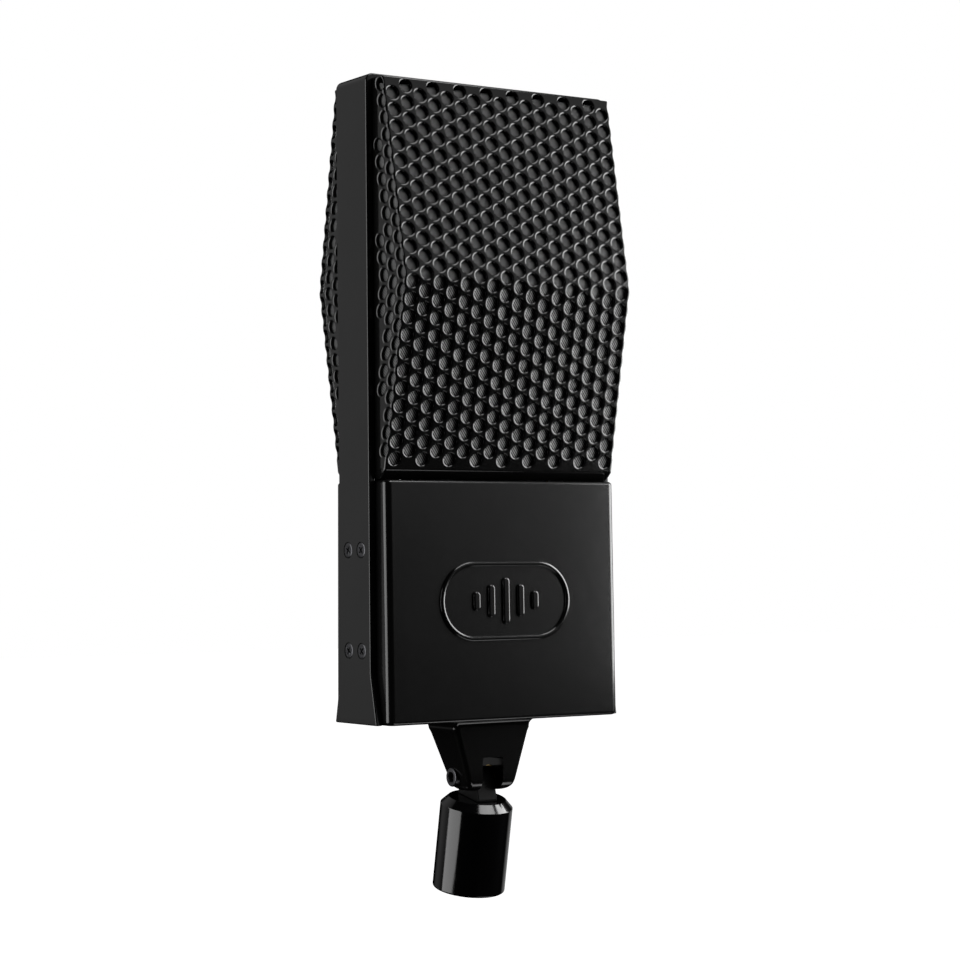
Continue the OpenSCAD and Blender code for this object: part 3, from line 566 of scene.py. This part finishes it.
def build_cover(name, node, turn):
    top_ease, low_ease = 1.3, 1.5
    lower = [(z, inset) for inset, z in arc(low_ease, low_ease, low_ease, 270, 180, 8)]
    upper = [(z, inset) for inset, z in arc(top_ease, COVER_H - top_ease, top_ease, 180, 90, 8)]
    levels = lower + [(z, 0) for z in (20, 44, 66)] + upper
    rings = [cover_ring(z, inset, COVER_EDGE - inset * 0.6, -0.4, turn) for z, inset in levels]
    cover = link(name, loft(rings), head_paint)
    roof, corner = COVER_H - COVER_WALL, COVER_EDGE - COVER_WALL / 2
    inner = [cover_ring(z, COVER_WALL, corner, 1, turn) for z in (-1, roof)]
    near, far = (-10.7, 1) if turn > 0 else (-1, 10.7)
    slot = block((-48.7, near, roof - 1), (48.7, far, COVER_H + 1))
    cut(cover, loft(inner), slot)
    return dress(cover, "head", node, slot="black_paint")


def relief_bar(outline, place, height, ease):
    """A raised shape from a closed outline: upright sides, a rounded shoulder and a flat top."""
    rings = []
    count = len(outline)
    middle = [Vector(p) for p in outline]
    for rise, inset in [(-0.3, 0)] + [
        (height - ease + ease * math.sin(math.radians(a)), ease - ease * math.cos(math.radians(a)))
        for a in (0, 18, 36, 54, 72, 90)
    ]:
        ring = []
        for i, p in enumerate(middle):
            ahead, behind = middle[(i + 1) % count], middle[i - 1]
            along = (ahead - behind).normalized()
            inward = Vector((-along.y, along.x))
            q = p + inward * inset
            ring.append(place(q.x, q.y, rise))
        rings.append(ring)
    return loft(rings)


def stadium(cx, cy, half_l, r, steps=14):
    """A slot outline that lies along Y when half_l is its half length between end centres."""
    return arc(cx, cy + half_l, r, 0, 180, steps) + arc(cx, cy - half_l, r, 180, 360, steps)


def build_badge():
    """Five sound-level bars inside an oval ring, standing out of the front cover."""
    lean = math.atan((COVER_LOW - COVER_TOP) / COVER_H)
    middle_z = 43.6
    face = COVER_LOW - middle_z * math.tan(lean)

    def place(x, v, rise):
        y = -face + v * math.sin(lean) - rise * math.cos(lean)
        return head(x, y, middle_z + v * math.cos(lean) + rise * math.sin(lean))

    ring_l, ring_r, ring_w, height = 14.0, 14.5, 2.0, 1.0
    section_turns = 12
    quarter = ring_r - ring_w / 2
    spine = arc(ring_l, 0, quarter, -90, 90, 24) + arc(-ring_l, 0, quarter, 90, 270, 24)
    spine = [Vector(p) for p in spine]
    sections = []
    count = len(spine)
    for i, p in enumerate(spine):
        along = (spine[(i + 1) % count] - spine[i - 1]).normalized()
        outward = Vector((along.y, -along.x))
        section = []
        for k in range(section_turns + 1):
            b = math.pi * k / section_turns
            q = p + outward * (ring_w / 2 * math.cos(b))
            section.append(place(q.x, q.y, height * math.sin(b) ** 0.8))
        section += [place(*(p - outward * ring_w / 2), -0.4), place(*(p + outward * ring_w / 2), -0.4)]
        sections.append(section)
    parts = [loft(sections + sections[:1], close_ends=False)]
    for i, length in enumerate((7, 12, 17, 12, 7)):
        outline = stadium((i - 2) * 6.4, 0, (length - 3) / 2, 1.5)
        parts.append(relief_bar(outline, place, height + 0.1, 0.7))
    bm = bmesh.new()
    for mesh in parts:
        bm.from_mesh(mesh)
    mesh = bpy.data.meshes.new("badge")
    bm.to_mesh(mesh)
    bm.free()
    dress(link("badge", mesh, grille_paint), "head", angle=50, slot="black_paint")


# ---------------------------------------------------------------- grilles


def run_of(up):
    """Length and unit direction of the slope above the ridge (up) or below it, as (y, z)."""
    run = (FOLD_TOP if up else FOLD_LOW) - RIDGE
    return run.length, run.normalized()


RISE_LEN, RISE = run_of(True)
FALL_LEN, FALL = run_of(False)
RIDGE_SOFT = 1.3
CREASE_SOFT = 1.0


def profile_at(v):
    """The grille's side profile as (y, z) and its upward direction, v along the sheet from the ridge."""
    if v >= RIDGE_SOFT:
        return RIDGE + RISE * v, RISE
    if v <= -RIDGE_SOFT:
        return RIDGE - FALL * v, -FALL
    a, c = RIDGE + FALL * RIDGE_SOFT, RIDGE + RISE * RIDGE_SOFT
    t = (v + RIDGE_SOFT) / (2 * RIDGE_SOFT)
    place = a * (1 - t) ** 2 + RIDGE * (2 * t * (1 - t)) + c * t**2
    return place, ((RIDGE - a) * (1 - t) + (c - RIDGE) * t).normalized()


CREASE_TURN = math.pi / 2 - math.atan(SIDE_LEAN)
CREASE_REACH = CREASE_SOFT * math.tan(CREASE_TURN / 2)


def plan_at(u):
    """The sheet's plan as (x, back) and its direction, u across from the middle and on round the crease."""
    sign = -1 if u < 0 else 1
    s = abs(u)
    if s <= CREASE_X - CREASE_REACH:
        return sign * s, 0.0, Vector((1, 0))
    if s >= CREASE_X + CREASE_REACH:
        along = Vector((SIDE_LEAN, 1)).normalized()
        return sign * (CREASE_X + SIDE_LEAN * (s - CREASE_X)), s - CREASE_X, Vector((along.x, sign * along.y))
    a = CREASE_TURN * (s - CREASE_X + CREASE_REACH) / (2 * CREASE_REACH)
    x = CREASE_X - CREASE_REACH + CREASE_SOFT * math.sin(a)
    back = CREASE_SOFT * (1 - math.cos(a))
    return sign * x, back, Vector((math.cos(a), sign * math.sin(a)))


def sheet_at(u, v, depth=0.0):
    """Point and outward normal of the folded sheet, in the head's frame."""
    (y, z), rise = profile_at(v)
    x, back, along = plan_at(u)
    widen = 1 + SIDE_LEAN * (y - RIDGE.x) / CREASE_X
    normal = Vector((along.y * rise.y, -along.x * rise.y, along.x * rise.x)).normalized()
    return Vector((x * widen, y + back, z)) - normal * depth, normal


def hole_centres():
    """Staggered rows of holes over the front and on round both creases, as (u, v)."""
    found = []
    for column in range(-COLUMNS - 4, COLUMNS + 5):
        stagger = HOLE_PITCH / 2 if column % 2 == 0 else 0
        u = column * COLUMN
        for up, start, length, lean in (
            (1, RIDGE_ROW + stagger, RISE_LEN, RISE.x),
            (-1, (stagger or HOLE_PITCH) - RIDGE_ROW, FALL_LEN, FALL.x),
        ):
            v = start
            while v <= length - HOLE_R - 0.2:
                behind = abs(u) - CREASE_X + v * lean
                if abs(column) <= COLUMNS or behind + HOLE_R + 0.8 < -RIDGE.x - BAND_HALF:
                    found.append((u, up * v))
                v += HOLE_PITCH
    return found


RIM_R = 3.12
RIM_SOFT = RIM_R - HOLE_R
RIM_DEPTH = 0.55
HOLE_SIDES = 24
TUCK_Y = -8.4
SHEET_TOP = RISE_LEN - 0.05
SHEET_LOW = -FALL_LEN
RIM_TOP = SHEET_TOP - 0.12
RIM_STEPS = (15, 30, 45, 58, 70, 80, 90)


def grille_mesh(turn):
    """One perforated grille as a closed, folded sheet; turn is 1 for the front and -1 for the rear."""
    centres = hole_centres()
    reach = {v: CREASE_X + TUCK_Y - profile_at(v)[0].x for v in (SHEET_LOW, 0, SHEET_TOP)}
    border = [(-reach[SHEET_LOW], SHEET_LOW), (reach[SHEET_LOW], SHEET_LOW), (reach[0], 0),
              (reach[SHEET_TOP], SHEET_TOP), (-reach[SHEET_TOP], SHEET_TOP), (-reach[0], 0)]
    points = [Vector(p) for p in border]
    edges = [(i, (i + 1) % len(border)) for i in range(len(border))]
    for u, v in centres:
        first = len(points)
        for k in range(HOLE_SIDES):
            a = TAU * (k + 0.5) / HOLE_SIDES
            points.append(Vector((u + RIM_R * math.cos(a), min(RIM_TOP, v + RIM_R * math.sin(a)))))
            edges.append((first + k, first + (k + 1) % HOLE_SIDES))
    folds = []
    for part in (-1, -0.5, 0, 0.5, 1):
        for sign in (-1, 1):
            u = sign * (CREASE_X + part * CREASE_REACH)
            folds.append(((u, SHEET_LOW), (u, SHEET_TOP)))
        v = part * RIDGE_SOFT
        far = CREASE_X + TUCK_Y - profile_at(v)[0].x - 0.02
        folds.append(((-far, v), (far, v)))
    for a, b in folds:
        edges.append((len(points), len(points) + 1))
        points += [Vector(a), Vector(b)]
    flat, _, triangles, *_ = delaunay_2d_cdt(points, edges, [], 0, 1e-5)

    near = {}
    for i, (u, v) in enumerate(centres):
        near.setdefault((round(u / 8), round(v / 8)), []).append(i)

    def hole_at(p):
        """The hole whose rim holds this point of the flat sheet, or None."""
        if p.y > RIM_TOP:
            return None
        cell = (round(p.x / 8), round(p.y / 8))
        for du in (-1, 0, 1):
            for dv in (-1, 0, 1):
                for i in near.get((cell[0] + du, cell[1] + dv), ()):
                    if math.hypot(p.x - centres[i][0], p.y - centres[i][1]) < RIM_R * 0.985:
                        return i
        return None

    def outside(p):
        """True for a point past the sheet's tucked edge."""
        return abs(p.x) > CREASE_X + TUCK_Y - profile_at(p.y)[0].x + 0.01

    kept = []
    half_edges = {}
    for tri in triangles:
        middle = sum((flat[i] for i in tri), Vector((0, 0))) / 3
        hole = hole_at(middle)
        if hole is not None or outside(middle):
            continue
        kept.append(tri)
        for k in range(3):
            half_edges[(tri[k], tri[(k + 1) % 3])] = True
    used = sorted({i for tri in kept for i in tri})
    number = {old: new for new, old in enumerate(used)}

    verts, faces, normals = [], [], []

    def add(p, flip=turn):
        verts.append(head(flip * p.x, flip * p.y, p.z))
        return len(verts) - 1

    def turned_normal(n):
        return Vector((turn * n.x, turn * n.y, n.z))

    outer_normal = []
    for i in used:
        p, n = sheet_at(*flat[i])
        add(p)
        outer_normal.append(turned_normal(n))
    inner_first = len(verts)
    for i in used:
        p, n = sheet_at(*flat[i], SHEET)
        add(p)
    for tri in kept:
        a, b, c = (number[i] for i in tri)
        faces.append((a, b, c))
        normals.append((outer_normal[a], outer_normal[b], outer_normal[c]))
        faces.append((inner_first + a, inner_first + c, inner_first + b))
        normals.append((-outer_normal[a], -outer_normal[c], -outer_normal[b]))

    # free edges: the holes' rims, and the sheet's own border
    follow = {b: a for (a, b) in half_edges if (b, a) not in half_edges}
    loops, left = [], set(follow)
    while left:
        start = left.pop()
        loop, here = [start], follow[start]
        while here != start:
            loop.append(here)
            left.discard(here)
            here = follow[here]
        loops.append(loop)
    border_loop = max(loops, key=lambda loop: max(flat[i].y for i in loop) - min(flat[i].y for i in loop))
    loops.remove(border_loop)
    for loop in loops:
        centre_guess = sum((flat[i] for i in loop), Vector((0, 0))) / len(loop)
        centre = min(centres, key=lambda c: (c[0] - centre_guess.x) ** 2 + (c[1] - centre_guess.y) ** 2)
        centre = Vector(centre)
        previous = [number[i] for i in loop]
        previous_normal = [outer_normal[i] for i in previous]
        count = len(loop)
        arms = [flat[i] - centre for i in loop]
        lengths = [arm.length for arm in arms]
        units = [arm.normalized() for arm in arms]
        spread = []
        for unit, length in zip(units, lengths):
            near_p, _ = sheet_at(*(centre + unit * (length - 0.2)))
            far_p, _ = sheet_at(*(centre + unit * length))
            spread.append(turned_normal((far_p - near_p).normalized()))
        for angle in RIM_STEPS + (None,):
            ring, ring_normal = [], []
            for k in range(count):
                if angle is None:
                    depth, shrink = SHEET, RIM_SOFT
                    n = -spread[k]
                else:
                    a = math.radians(angle)
                    depth, shrink = RIM_DEPTH * (1 - math.cos(a)), RIM_SOFT * math.sin(a)
                    n = previous_normal[k]
                q = centre + units[k] * min(lengths[k], RIM_R - shrink)
                p, face_normal = sheet_at(q.x, q.y, depth)
                if angle is not None:
                    n = turned_normal(face_normal) * (RIM_SOFT * math.cos(a))
                    n = n - spread[k] * (RIM_DEPTH * math.sin(a))
                ring.append(add(p))
                ring_normal.append(n.normalized())
            for k in range(count):
                j = (k + 1) % count
                faces.append((previous[k], previous[j], ring[j], ring[k]))
                start = ring_normal if angle is None else previous_normal
                normals.append((start[k], start[j], ring_normal[j], ring_normal[k]))
            previous, previous_normal = ring, ring_normal
        for k in range(count):
            j = (k + 1) % count
            a, b = inner_first + number[loop[k]], inner_first + number[loop[j]]
            faces.append((previous[k], previous[j], b, a))
            back_n = -outer_normal[number[loop[k]]]
            normals.append((back_n,) * 4)

    # the border: the top shelf, the bottom bevel, and the tucked edges at the sides
    none = Vector((0, 0, 0))
    columns = []
    for i in border_loop:
        u, v = flat[i]
        outer, n = sheet_at(u, v)
        inner, _ = sheet_at(u, v, SHEET)
        if v > SHEET_TOP - 0.001:
            corner = outer + Vector((0, RISE.x, RISE.y)) * 0.4
            shelf_x, shelf_y = max(-46, min(46, outer.x)), max(outer.y, -BAND_HALF + 0.6)
            target = Vector((shelf_x, shelf_y, BODY_H - BAND_WALL - 0.1))
            drop = Vector((0, 0, -SHEET))
        elif v < SHEET_LOW + 0.001:
            corner = outer + Vector((0, FALL.x, FALL.y)) * 0.5
            low_y = TUCK_Y + (outer.y - TUCK_Y) * 0.55
            target = Vector((outer.x, low_y, COVER_H + 0.3))
            drop = Vector((0, SHEET * 0.8, 0))
            if abs(outer.x) > 49:
                drop.x = -math.copysign(SHEET, outer.x)
        else:
            columns.append([number[i], inner_first + number[i]])
            continue
        ahead = (target - corner).normalized()
        lead = min(0.5, (target - corner).length * 0.4)
        column = [number[i]]
        for t in (0.25, 0.5, 0.75, 1.0):
            p = outer * (1 - t) ** 2 + corner * (2 * t * (1 - t)) + (corner + ahead * lead) * t**2
            column.append(add(p))
        column.append(add(target))
        column.append(add(target + drop))
        column.append(inner_first + number[i])
        columns.append(column)
    total = len(columns)
    for k in range(total):
        a, b = columns[k], columns[(k + 1) % total]
        if len(a) == len(b):
            for i in range(len(a) - 1):
                face = (a[i], b[i], b[i + 1], a[i + 1])
                faces.append(face)
                normals.append((none,) * 4)
        else:
            ring = (*reversed(a), *b)
            faces.append(ring)
            normals.append((none,) * len(ring))
    return verts, faces, normals


def build_grille(name, node, turn):
    verts, faces, normals = grille_mesh(turn)
    mesh = bpy.data.meshes.new(name)
    mesh.from_pydata(verts, [], faces)
    mesh.shade_smooth()
    flat = [n for face in normals for n in face]
    mesh.normals_split_custom_set(flat)
    obj = link(name, mesh, grille_paint)
    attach(obj, "head")
    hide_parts(node)


def build_cloth(name, node, turn):
    """The wire cloth behind a grille, following its folds just inside the sheet."""
    inside = SHEET + 0.18
    rows = [SHEET_LOW + 1 + i * (SHEET_TOP - SHEET_LOW - 3) / 56 for i in range(57)]
    across = [-60 + i * 1.5 for i in range(81)]
    sections = []
    for v in rows:
        limit = CREASE_X + TUCK_Y - 1 - profile_at(v)[0].x
        places = [max(-limit, min(limit, u * limit / 60)) for u in across]
        outer = [sheet_at(u, v, inside)[0] for u in places]
        inner = [sheet_at(u, v, inside + 0.3)[0] for u in reversed(places)]
        sections.append([head(turn * p.x, turn * p.y, p.z) for p in outer + inner])
    obj = link(name, loft(sections), cloth_metal)
    dress(obj, "head", node, angle=60, slot="mesh_cloth")


# ---------------------------------------------------------------- lug and stem

LUG_TOP, LUG_TAPER = 17.5, 0.3
LUG_FRONT, LUG_FRONT_TAPER = 9.8, 0.035
LUG_REAR, LUG_REAR_TAPER = 10.5, 0.237
LUG_END = -PIVOT_DROP - 5
SLOT_HALF = 4.5


def lug_width(z):
    """Half the lug's width at a height: tapered, with round lower corners and a fillet under the head."""
    corner, fillet = 3.4, 3.2
    lean = math.hypot(1, LUG_TAPER)
    width = LUG_TOP + LUG_TAPER * z
    low_x = LUG_TOP + LUG_TAPER * (LUG_END + corner) - corner * lean
    if z < LUG_END + corner * (1 - LUG_TAPER / lean):
        width = low_x + math.sqrt(max(0, corner**2 - (z - LUG_END - corner) ** 2))
    top_x = LUG_TOP + fillet * (lean - LUG_TAPER)
    if z > -fillet * (1 + LUG_TAPER / lean):
        width = top_x - math.sqrt(max(0, fillet**2 - (z + fillet) ** 2))
    return width


def lug_reach(z, top, taper, r=4.6):
    """Distance from the middle to the lug's front or rear at a height, with a round lower corner."""
    fillet = 2.4
    lean = math.hypot(1, taper)
    centre = top + taper * (LUG_END + r) - r * lean
    if z < LUG_END + r * (1 - taper / lean):
        return centre + math.sqrt(max(0, r**2 - (z - LUG_END - r) ** 2))
    if z > -fillet * (1 + taper / lean):
        return top + fillet * (lean - taper) - math.sqrt(max(0, fillet**2 - (z + fillet) ** 2))
    return top + taper * z


def build_lug():
    edge = 1.9
    heights = [0.28, -0.02, -0.15, -0.4, -0.8, -1.3, -2, -2.8, -3.6, -5, -9, -13, -17, -19.5]
    heights += [LUG_END + 4.6 * (1 - math.cos(math.radians(a))) for a in range(80, -1, -8)]
    sections = []
    for z in heights:
        level = min(z, -0.02)
        w = lug_width(level)
        front = lug_reach(level, LUG_FRONT, LUG_FRONT_TAPER)
        rear = lug_reach(level, LUG_REAR, LUG_REAR_TAPER)
        ring = arc(w - edge, rear - edge, edge, 0, 90)
        ring += arc(-w + edge, rear - edge, edge, 90, 180)
        ring += arc(-w + edge, -front + edge, edge, 180, 270)
        ring += arc(w - edge, -front + edge, edge, 270, 360)
        sections.append([head(x, y, z) for x, y in ring])
    lug = link("lug", loft(sections), lug_paint)
    roof = -PIVOT_DROP + 7.3
    soft = 0.9
    outline = [(-SLOT_HALF, LUG_END - 2), (SLOT_HALF, LUG_END - 2)]
    outline += arc(SLOT_HALF - soft, roof - soft, soft, 0, 90)
    outline += arc(-SLOT_HALF + soft, roof - soft, soft, 90, 180)
    slot = loft([[head(x, y, z) for x, z in outline] for y in (-20, 20)])
    pin = (0, 0, -PIVOT_DROP)
    bore = rod(2.05, 2.05, (-16, 0, pin[2]), (9.6, 0, pin[2]), Y_AXIS, Z_AXIS)
    sink = rod(3.62, 3.62, (-20, 0, pin[2]), (-8.6, 0, pin[2]), Y_AXIS, Z_AXIS)
    cut(lug, slot, bore, sink)
    dress(lug, "head", "mount_lug", bevel=0.28, angle=40, slot="black_paint")


def build_pivot_screw():
    """A round-headed cap screw with a hexagon socket, standing out of the left ear."""
    face, r, tall, hexa, deep = 12.6, 3.5, 4.0, 1.75, 2.2
    sides = 48

    def place(x, v, out):
        return head(-(face - tall + out), x, -PIVOT_DROP + v)

    def ring(radius, out, six=False):
        made = []
        for i in range(sides):
            a = TAU * i / sides
            reach = radius
            if six:
                part = (a % (TAU / 6)) - TAU / 12
                reach = radius / math.cos(part)
            made.append(place(reach * math.cos(a), reach * math.sin(a), out))
        return made

    sections = [ring(0.001, -8), ring(2, -8), ring(2, 0), ring(r, 0), ring(r, tall - 0.55)]
    for a in (20, 40, 60, 80, 90):
        turn = math.radians(a)
        sections.append(ring(r - 0.55 + 0.55 * math.cos(turn), tall - 0.55 + 0.55 * math.sin(turn)))
    sections += [ring(hexa + 0.25, tall, True), ring(hexa, tall - 0.25, True), ring(hexa, tall - deep, True),
                 ring(0.001, tall - deep - 0.7)]
    screw = link("pivot_cap_screw", loft(sections), screw_black)
    dress(screw, "head", "pivot_screw", angle=40, slot="black_screw")


def build_tongue():
    """The stem's flat tongue with its round barrel, which fills the lug's slot."""
    barrel, half, foot, wide = 3.5, 7.0, 1.2, 4.1
    lift = STEM_LEN
    low = COLLAR_TOP
    right = [(half, low), (half, low + foot)]
    # the flank runs from the foot to where it touches the barrel
    gap_y, gap_z = half, low + foot - lift
    distance = math.hypot(gap_y, gap_z)
    touch = math.atan2(gap_z, gap_y) + math.acos(barrel / distance)
    outline = right + arc(0, lift, barrel, math.degrees(touch), 180 - math.degrees(touch), 20)
    outline += [(-half, low + foot), (-half, low)]
    tongue = link("tongue", loft([[stem(x, y, z) for y, z in outline] for x in (-wide, wide)]), dull_black)
    dress(tongue, "stem", "swivel_tongue", bevel=0.35, angle=30, slot="black_gloss")


def build_collar():
    """The turned stand collar: a bevelled top, a broken lower edge and the bush's seat below."""
    bevel, soft = 2.8, 0.35
    r, top = COLLAR_R, COLLAR_TOP
    slant = math.radians(45)
    profile = [(0.001, top)]
    profile += arc(r - bevel - soft * math.tan(slant / 2), top - soft, soft, 90, 45, 4)
    profile += arc(r - soft, top - bevel - soft * math.tan(slant / 2), soft, 45, 0, 4)
    profile += [(r, top * 0.66), (r, top * 0.33)]
    profile += arc(r - 0.7, 0.7, 0.7, 0, -90, 6)
    profile += arc(9.2 + 0.35, 0.35, 0.35, -90, -180, 4)
    profile += [(9.2, THREAD_LEN), (6.6, THREAD_LEN), (6.6, 22), (2.7, 22), (2.7, 26), (0.001, 26)]
    collar = link("collar", lathe(profile, stem, 128), gloss_black)
    dress(collar, "stem", "stand_collar", angle=30, slot="black_gloss")


def build_bush():
    """The brass bush, with the turns of a 5/8 inch-27 thread cut inside it."""
    pitch = 25.4 / 27
    outer, deep = 9.19, 0.5
    turns, per_turn = 72, 8
    rows = int(THREAD_LEN / pitch * per_turn)
    sections = []
    for i in range(turns):
        a = TAU * i / turns
        c, s = math.cos(a), math.sin(a)
        profile = [(outer, THREAD_LEN), (outer, 0.3), (outer - 0.3, 0.02), (THREAD_R + 0.75, 0.02)]
        for k in range(rows + 1):
            z = THREAD_LEN * k / rows
            phase = (z / pitch - i / turns) % 1
            groove = deep * (1 - abs(2 * phase - 1))
            fade = min(1.0, max(0.0, (z - 0.1) / 0.8))
            mouth = 0.7 * (1 - fade)
            profile.append((THREAD_R + groove * fade + mouth, max(z, 0.1)))
        sections.append([stem(r * c, r * s, z) for r, z in profile])
    bush = loft(sections + sections[:1], close_ends=False)
    dress(link("bush", bush, SLOTS["brass"]), "stem", "thread_bush", angle=50, slot="brass")


# ---------------------------------------------------------------- camera, light and stage


def build_camera():
    """The photograph's view: a little to the left of the front, a little below the middle."""
    azimuth, elevation, roll = math.radians(-33.39), math.radians(-1.77), math.radians(-0.55)
    distance, target = 0.9198, head(1.51, 0, 88.3)
    level = math.cos(elevation)
    back = Vector((math.sin(azimuth) * level, -math.cos(azimuth) * level, math.sin(elevation)))
    right = (-back).cross(Vector((0, 0, 1))).normalized()
    up = right.cross(-back)
    x = math.cos(roll) * right + math.sin(roll) * up
    y = -math.sin(roll) * right + math.cos(roll) * up
    lens = bpy.data.cameras.new("camera")
    lens.lens = 92.6
    lens.clip_start, lens.clip_end = 0.01, 60
    camera = bpy.data.objects.new("camera", lens)
    bpy.context.scene.collection.objects.link(camera)
    aim = Matrix((x, y, back)).transposed().to_4x4()
    camera.matrix_world = Matrix.Translation(target + back * distance) @ aim
    bpy.context.scene.camera = camera


def softbox(name, azimuth, elevation, distance, width, height, power, middle=100):
    """A rectangular soft light in a direction from the head's axis: azimuth 0 is the front, 90 is +X."""
    a, e = math.radians(azimuth), math.radians(elevation)
    way = Vector((math.sin(a) * math.cos(e), -math.cos(a) * math.cos(e), math.sin(e)))
    lamp = bpy.data.lights.new(name, "AREA")
    lamp.shape = "RECTANGLE"
    lamp.size, lamp.size_y = width, height
    lamp.energy = power
    obj = bpy.data.objects.new(name, lamp)
    bpy.context.scene.collection.objects.link(obj)
    obj.location = head(0, 0, middle) + way * distance
    obj.rotation_mode = "QUATERNION"
    obj.rotation_quaternion = way.to_track_quat("Z", "Y")
    obj.visible_camera = False
    return obj


def glow(tree, azimuth, elevation, near, far, strength):
    """A soft patch of the surroundings: full strength within near degrees of a direction, none beyond far."""
    a, e = math.radians(azimuth), math.radians(elevation)
    source = tree.nodes.new("ShaderNodeTexCoord")
    dot = tree.nodes.new("ShaderNodeVectorMath")
    dot.operation = "DOT_PRODUCT"
    dot.inputs[1].default_value = (math.sin(a) * math.cos(e), -math.cos(a) * math.cos(e), math.sin(e))
    tree.links.new(source.outputs["Generated"], dot.inputs[0])
    fade = tree.nodes.new("ShaderNodeMapRange")
    fade.interpolation_type = "SMOOTHSTEP"
    limits = (math.cos(math.radians(far)), math.cos(math.radians(near)), 0, strength)
    for socket, number in zip(("From Min", "From Max", "To Min", "To Max"), limits):
        fade.inputs[socket].default_value = number
    tree.links.new(dot.outputs["Value"], fade.inputs["Value"])
    return fade.outputs["Result"]


# azimuth, elevation, full within, gone beyond, strength
GLOWS = (
    (60, 25, 20, 50, 0.1),
    (55, 30, 30, 40, 0.32),
    (-150, 22, 18, 42, 0.3),
    (122, -8, 12, 26, 0.4),
)


def build_light():
    """Two upright softboxes at the sides, one overhead, a low fill, and faint glows between them."""
    softbox("left_box", -106, 2, 1.2, 1.0, 1.2, 13)
    softbox("right_box", 66, 0, 0.36, 0.29, 0.31, 2.6, 158)
    softbox("overhead", 28, 57, 1.2, 0.7, 0.5, 7)
    softbox("low_fill", 35, -55, 0.34, 0.3, 0.1, 0.2, 0)
    world = bpy.data.worlds.new("studio")
    bpy.context.scene.world = world
    world.use_nodes = True
    tree = world.node_tree
    tree.nodes.clear()
    out = tree.nodes.new("ShaderNodeOutputWorld")
    mix = tree.nodes.new("ShaderNodeMixShader")
    path = tree.nodes.new("ShaderNodeLightPath")
    dim, white = tree.nodes.new("ShaderNodeBackground"), tree.nodes.new("ShaderNodeBackground")
    dim.inputs["Color"].default_value = (1, 1, 1, 1)
    white.inputs["Color"].default_value = (1, 1, 1, 1)
    total = None
    for patch in GLOWS:
        part = glow(tree, *patch)
        if total:
            both = tree.nodes.new("ShaderNodeMath")
            tree.links.new(total, both.inputs[0])
            tree.links.new(part, both.inputs[1])
            part = both.outputs[0]
        total = part
    tree.links.new(total, dim.inputs["Strength"])
    tree.links.new(path.outputs["Is Camera Ray"], mix.inputs["Fac"])
    tree.links.new(dim.outputs[0], mix.inputs[1])
    tree.links.new(white.outputs[0], mix.inputs[2])
    tree.links.new(mix.outputs[0], out.inputs["Surface"])
    view = bpy.context.scene.view_settings
    view.view_transform = "Standard"
    view.look = "None"


def build_floor():
    """A plain pale floor, well below the microphone, which hangs from its stand thread."""
    paint = Paint("pale_floor", Roughness=0.8)
    paint.shader.inputs["Emission Color"].default_value = (1, 1, 1, 1)
    paint.shader.inputs["Emission Strength"].default_value = 1.0
    paint.colour(paint.ramp(paint.noise(3), (0.3, grey(0.86)), (0.7, grey(0.9))))
    half, level = 12, -0.42
    corners = [(-half, -half, level), (half, -half, level), (half, half, level), (-half, half, level)]
    mesh = solid(corners, [(0, 1, 2, 3)])
    floor = link("floor", mesh, paint.material)
    floor.visible_glossy = False
    floor.visible_diffuse = False


# ---------------------------------------------------------------- the scene

build_camera()
build_light()
build_floor()
build_band()
build_band_screws()
build_cover("front_cover", "cover_front", 1)
build_cover("rear_cover", "cover_rear", -1)
build_badge()
for side_name, side_turn in (("front", 1), ("rear", -1)):
    build_grille(f"{side_name}_grille", f"grille_{side_name}", side_turn)
    build_cloth(f"{side_name}_cloth", f"screen_{side_name}", side_turn)
build_lug()
build_pivot_screw()
build_tongue()
build_collar()
build_bush()
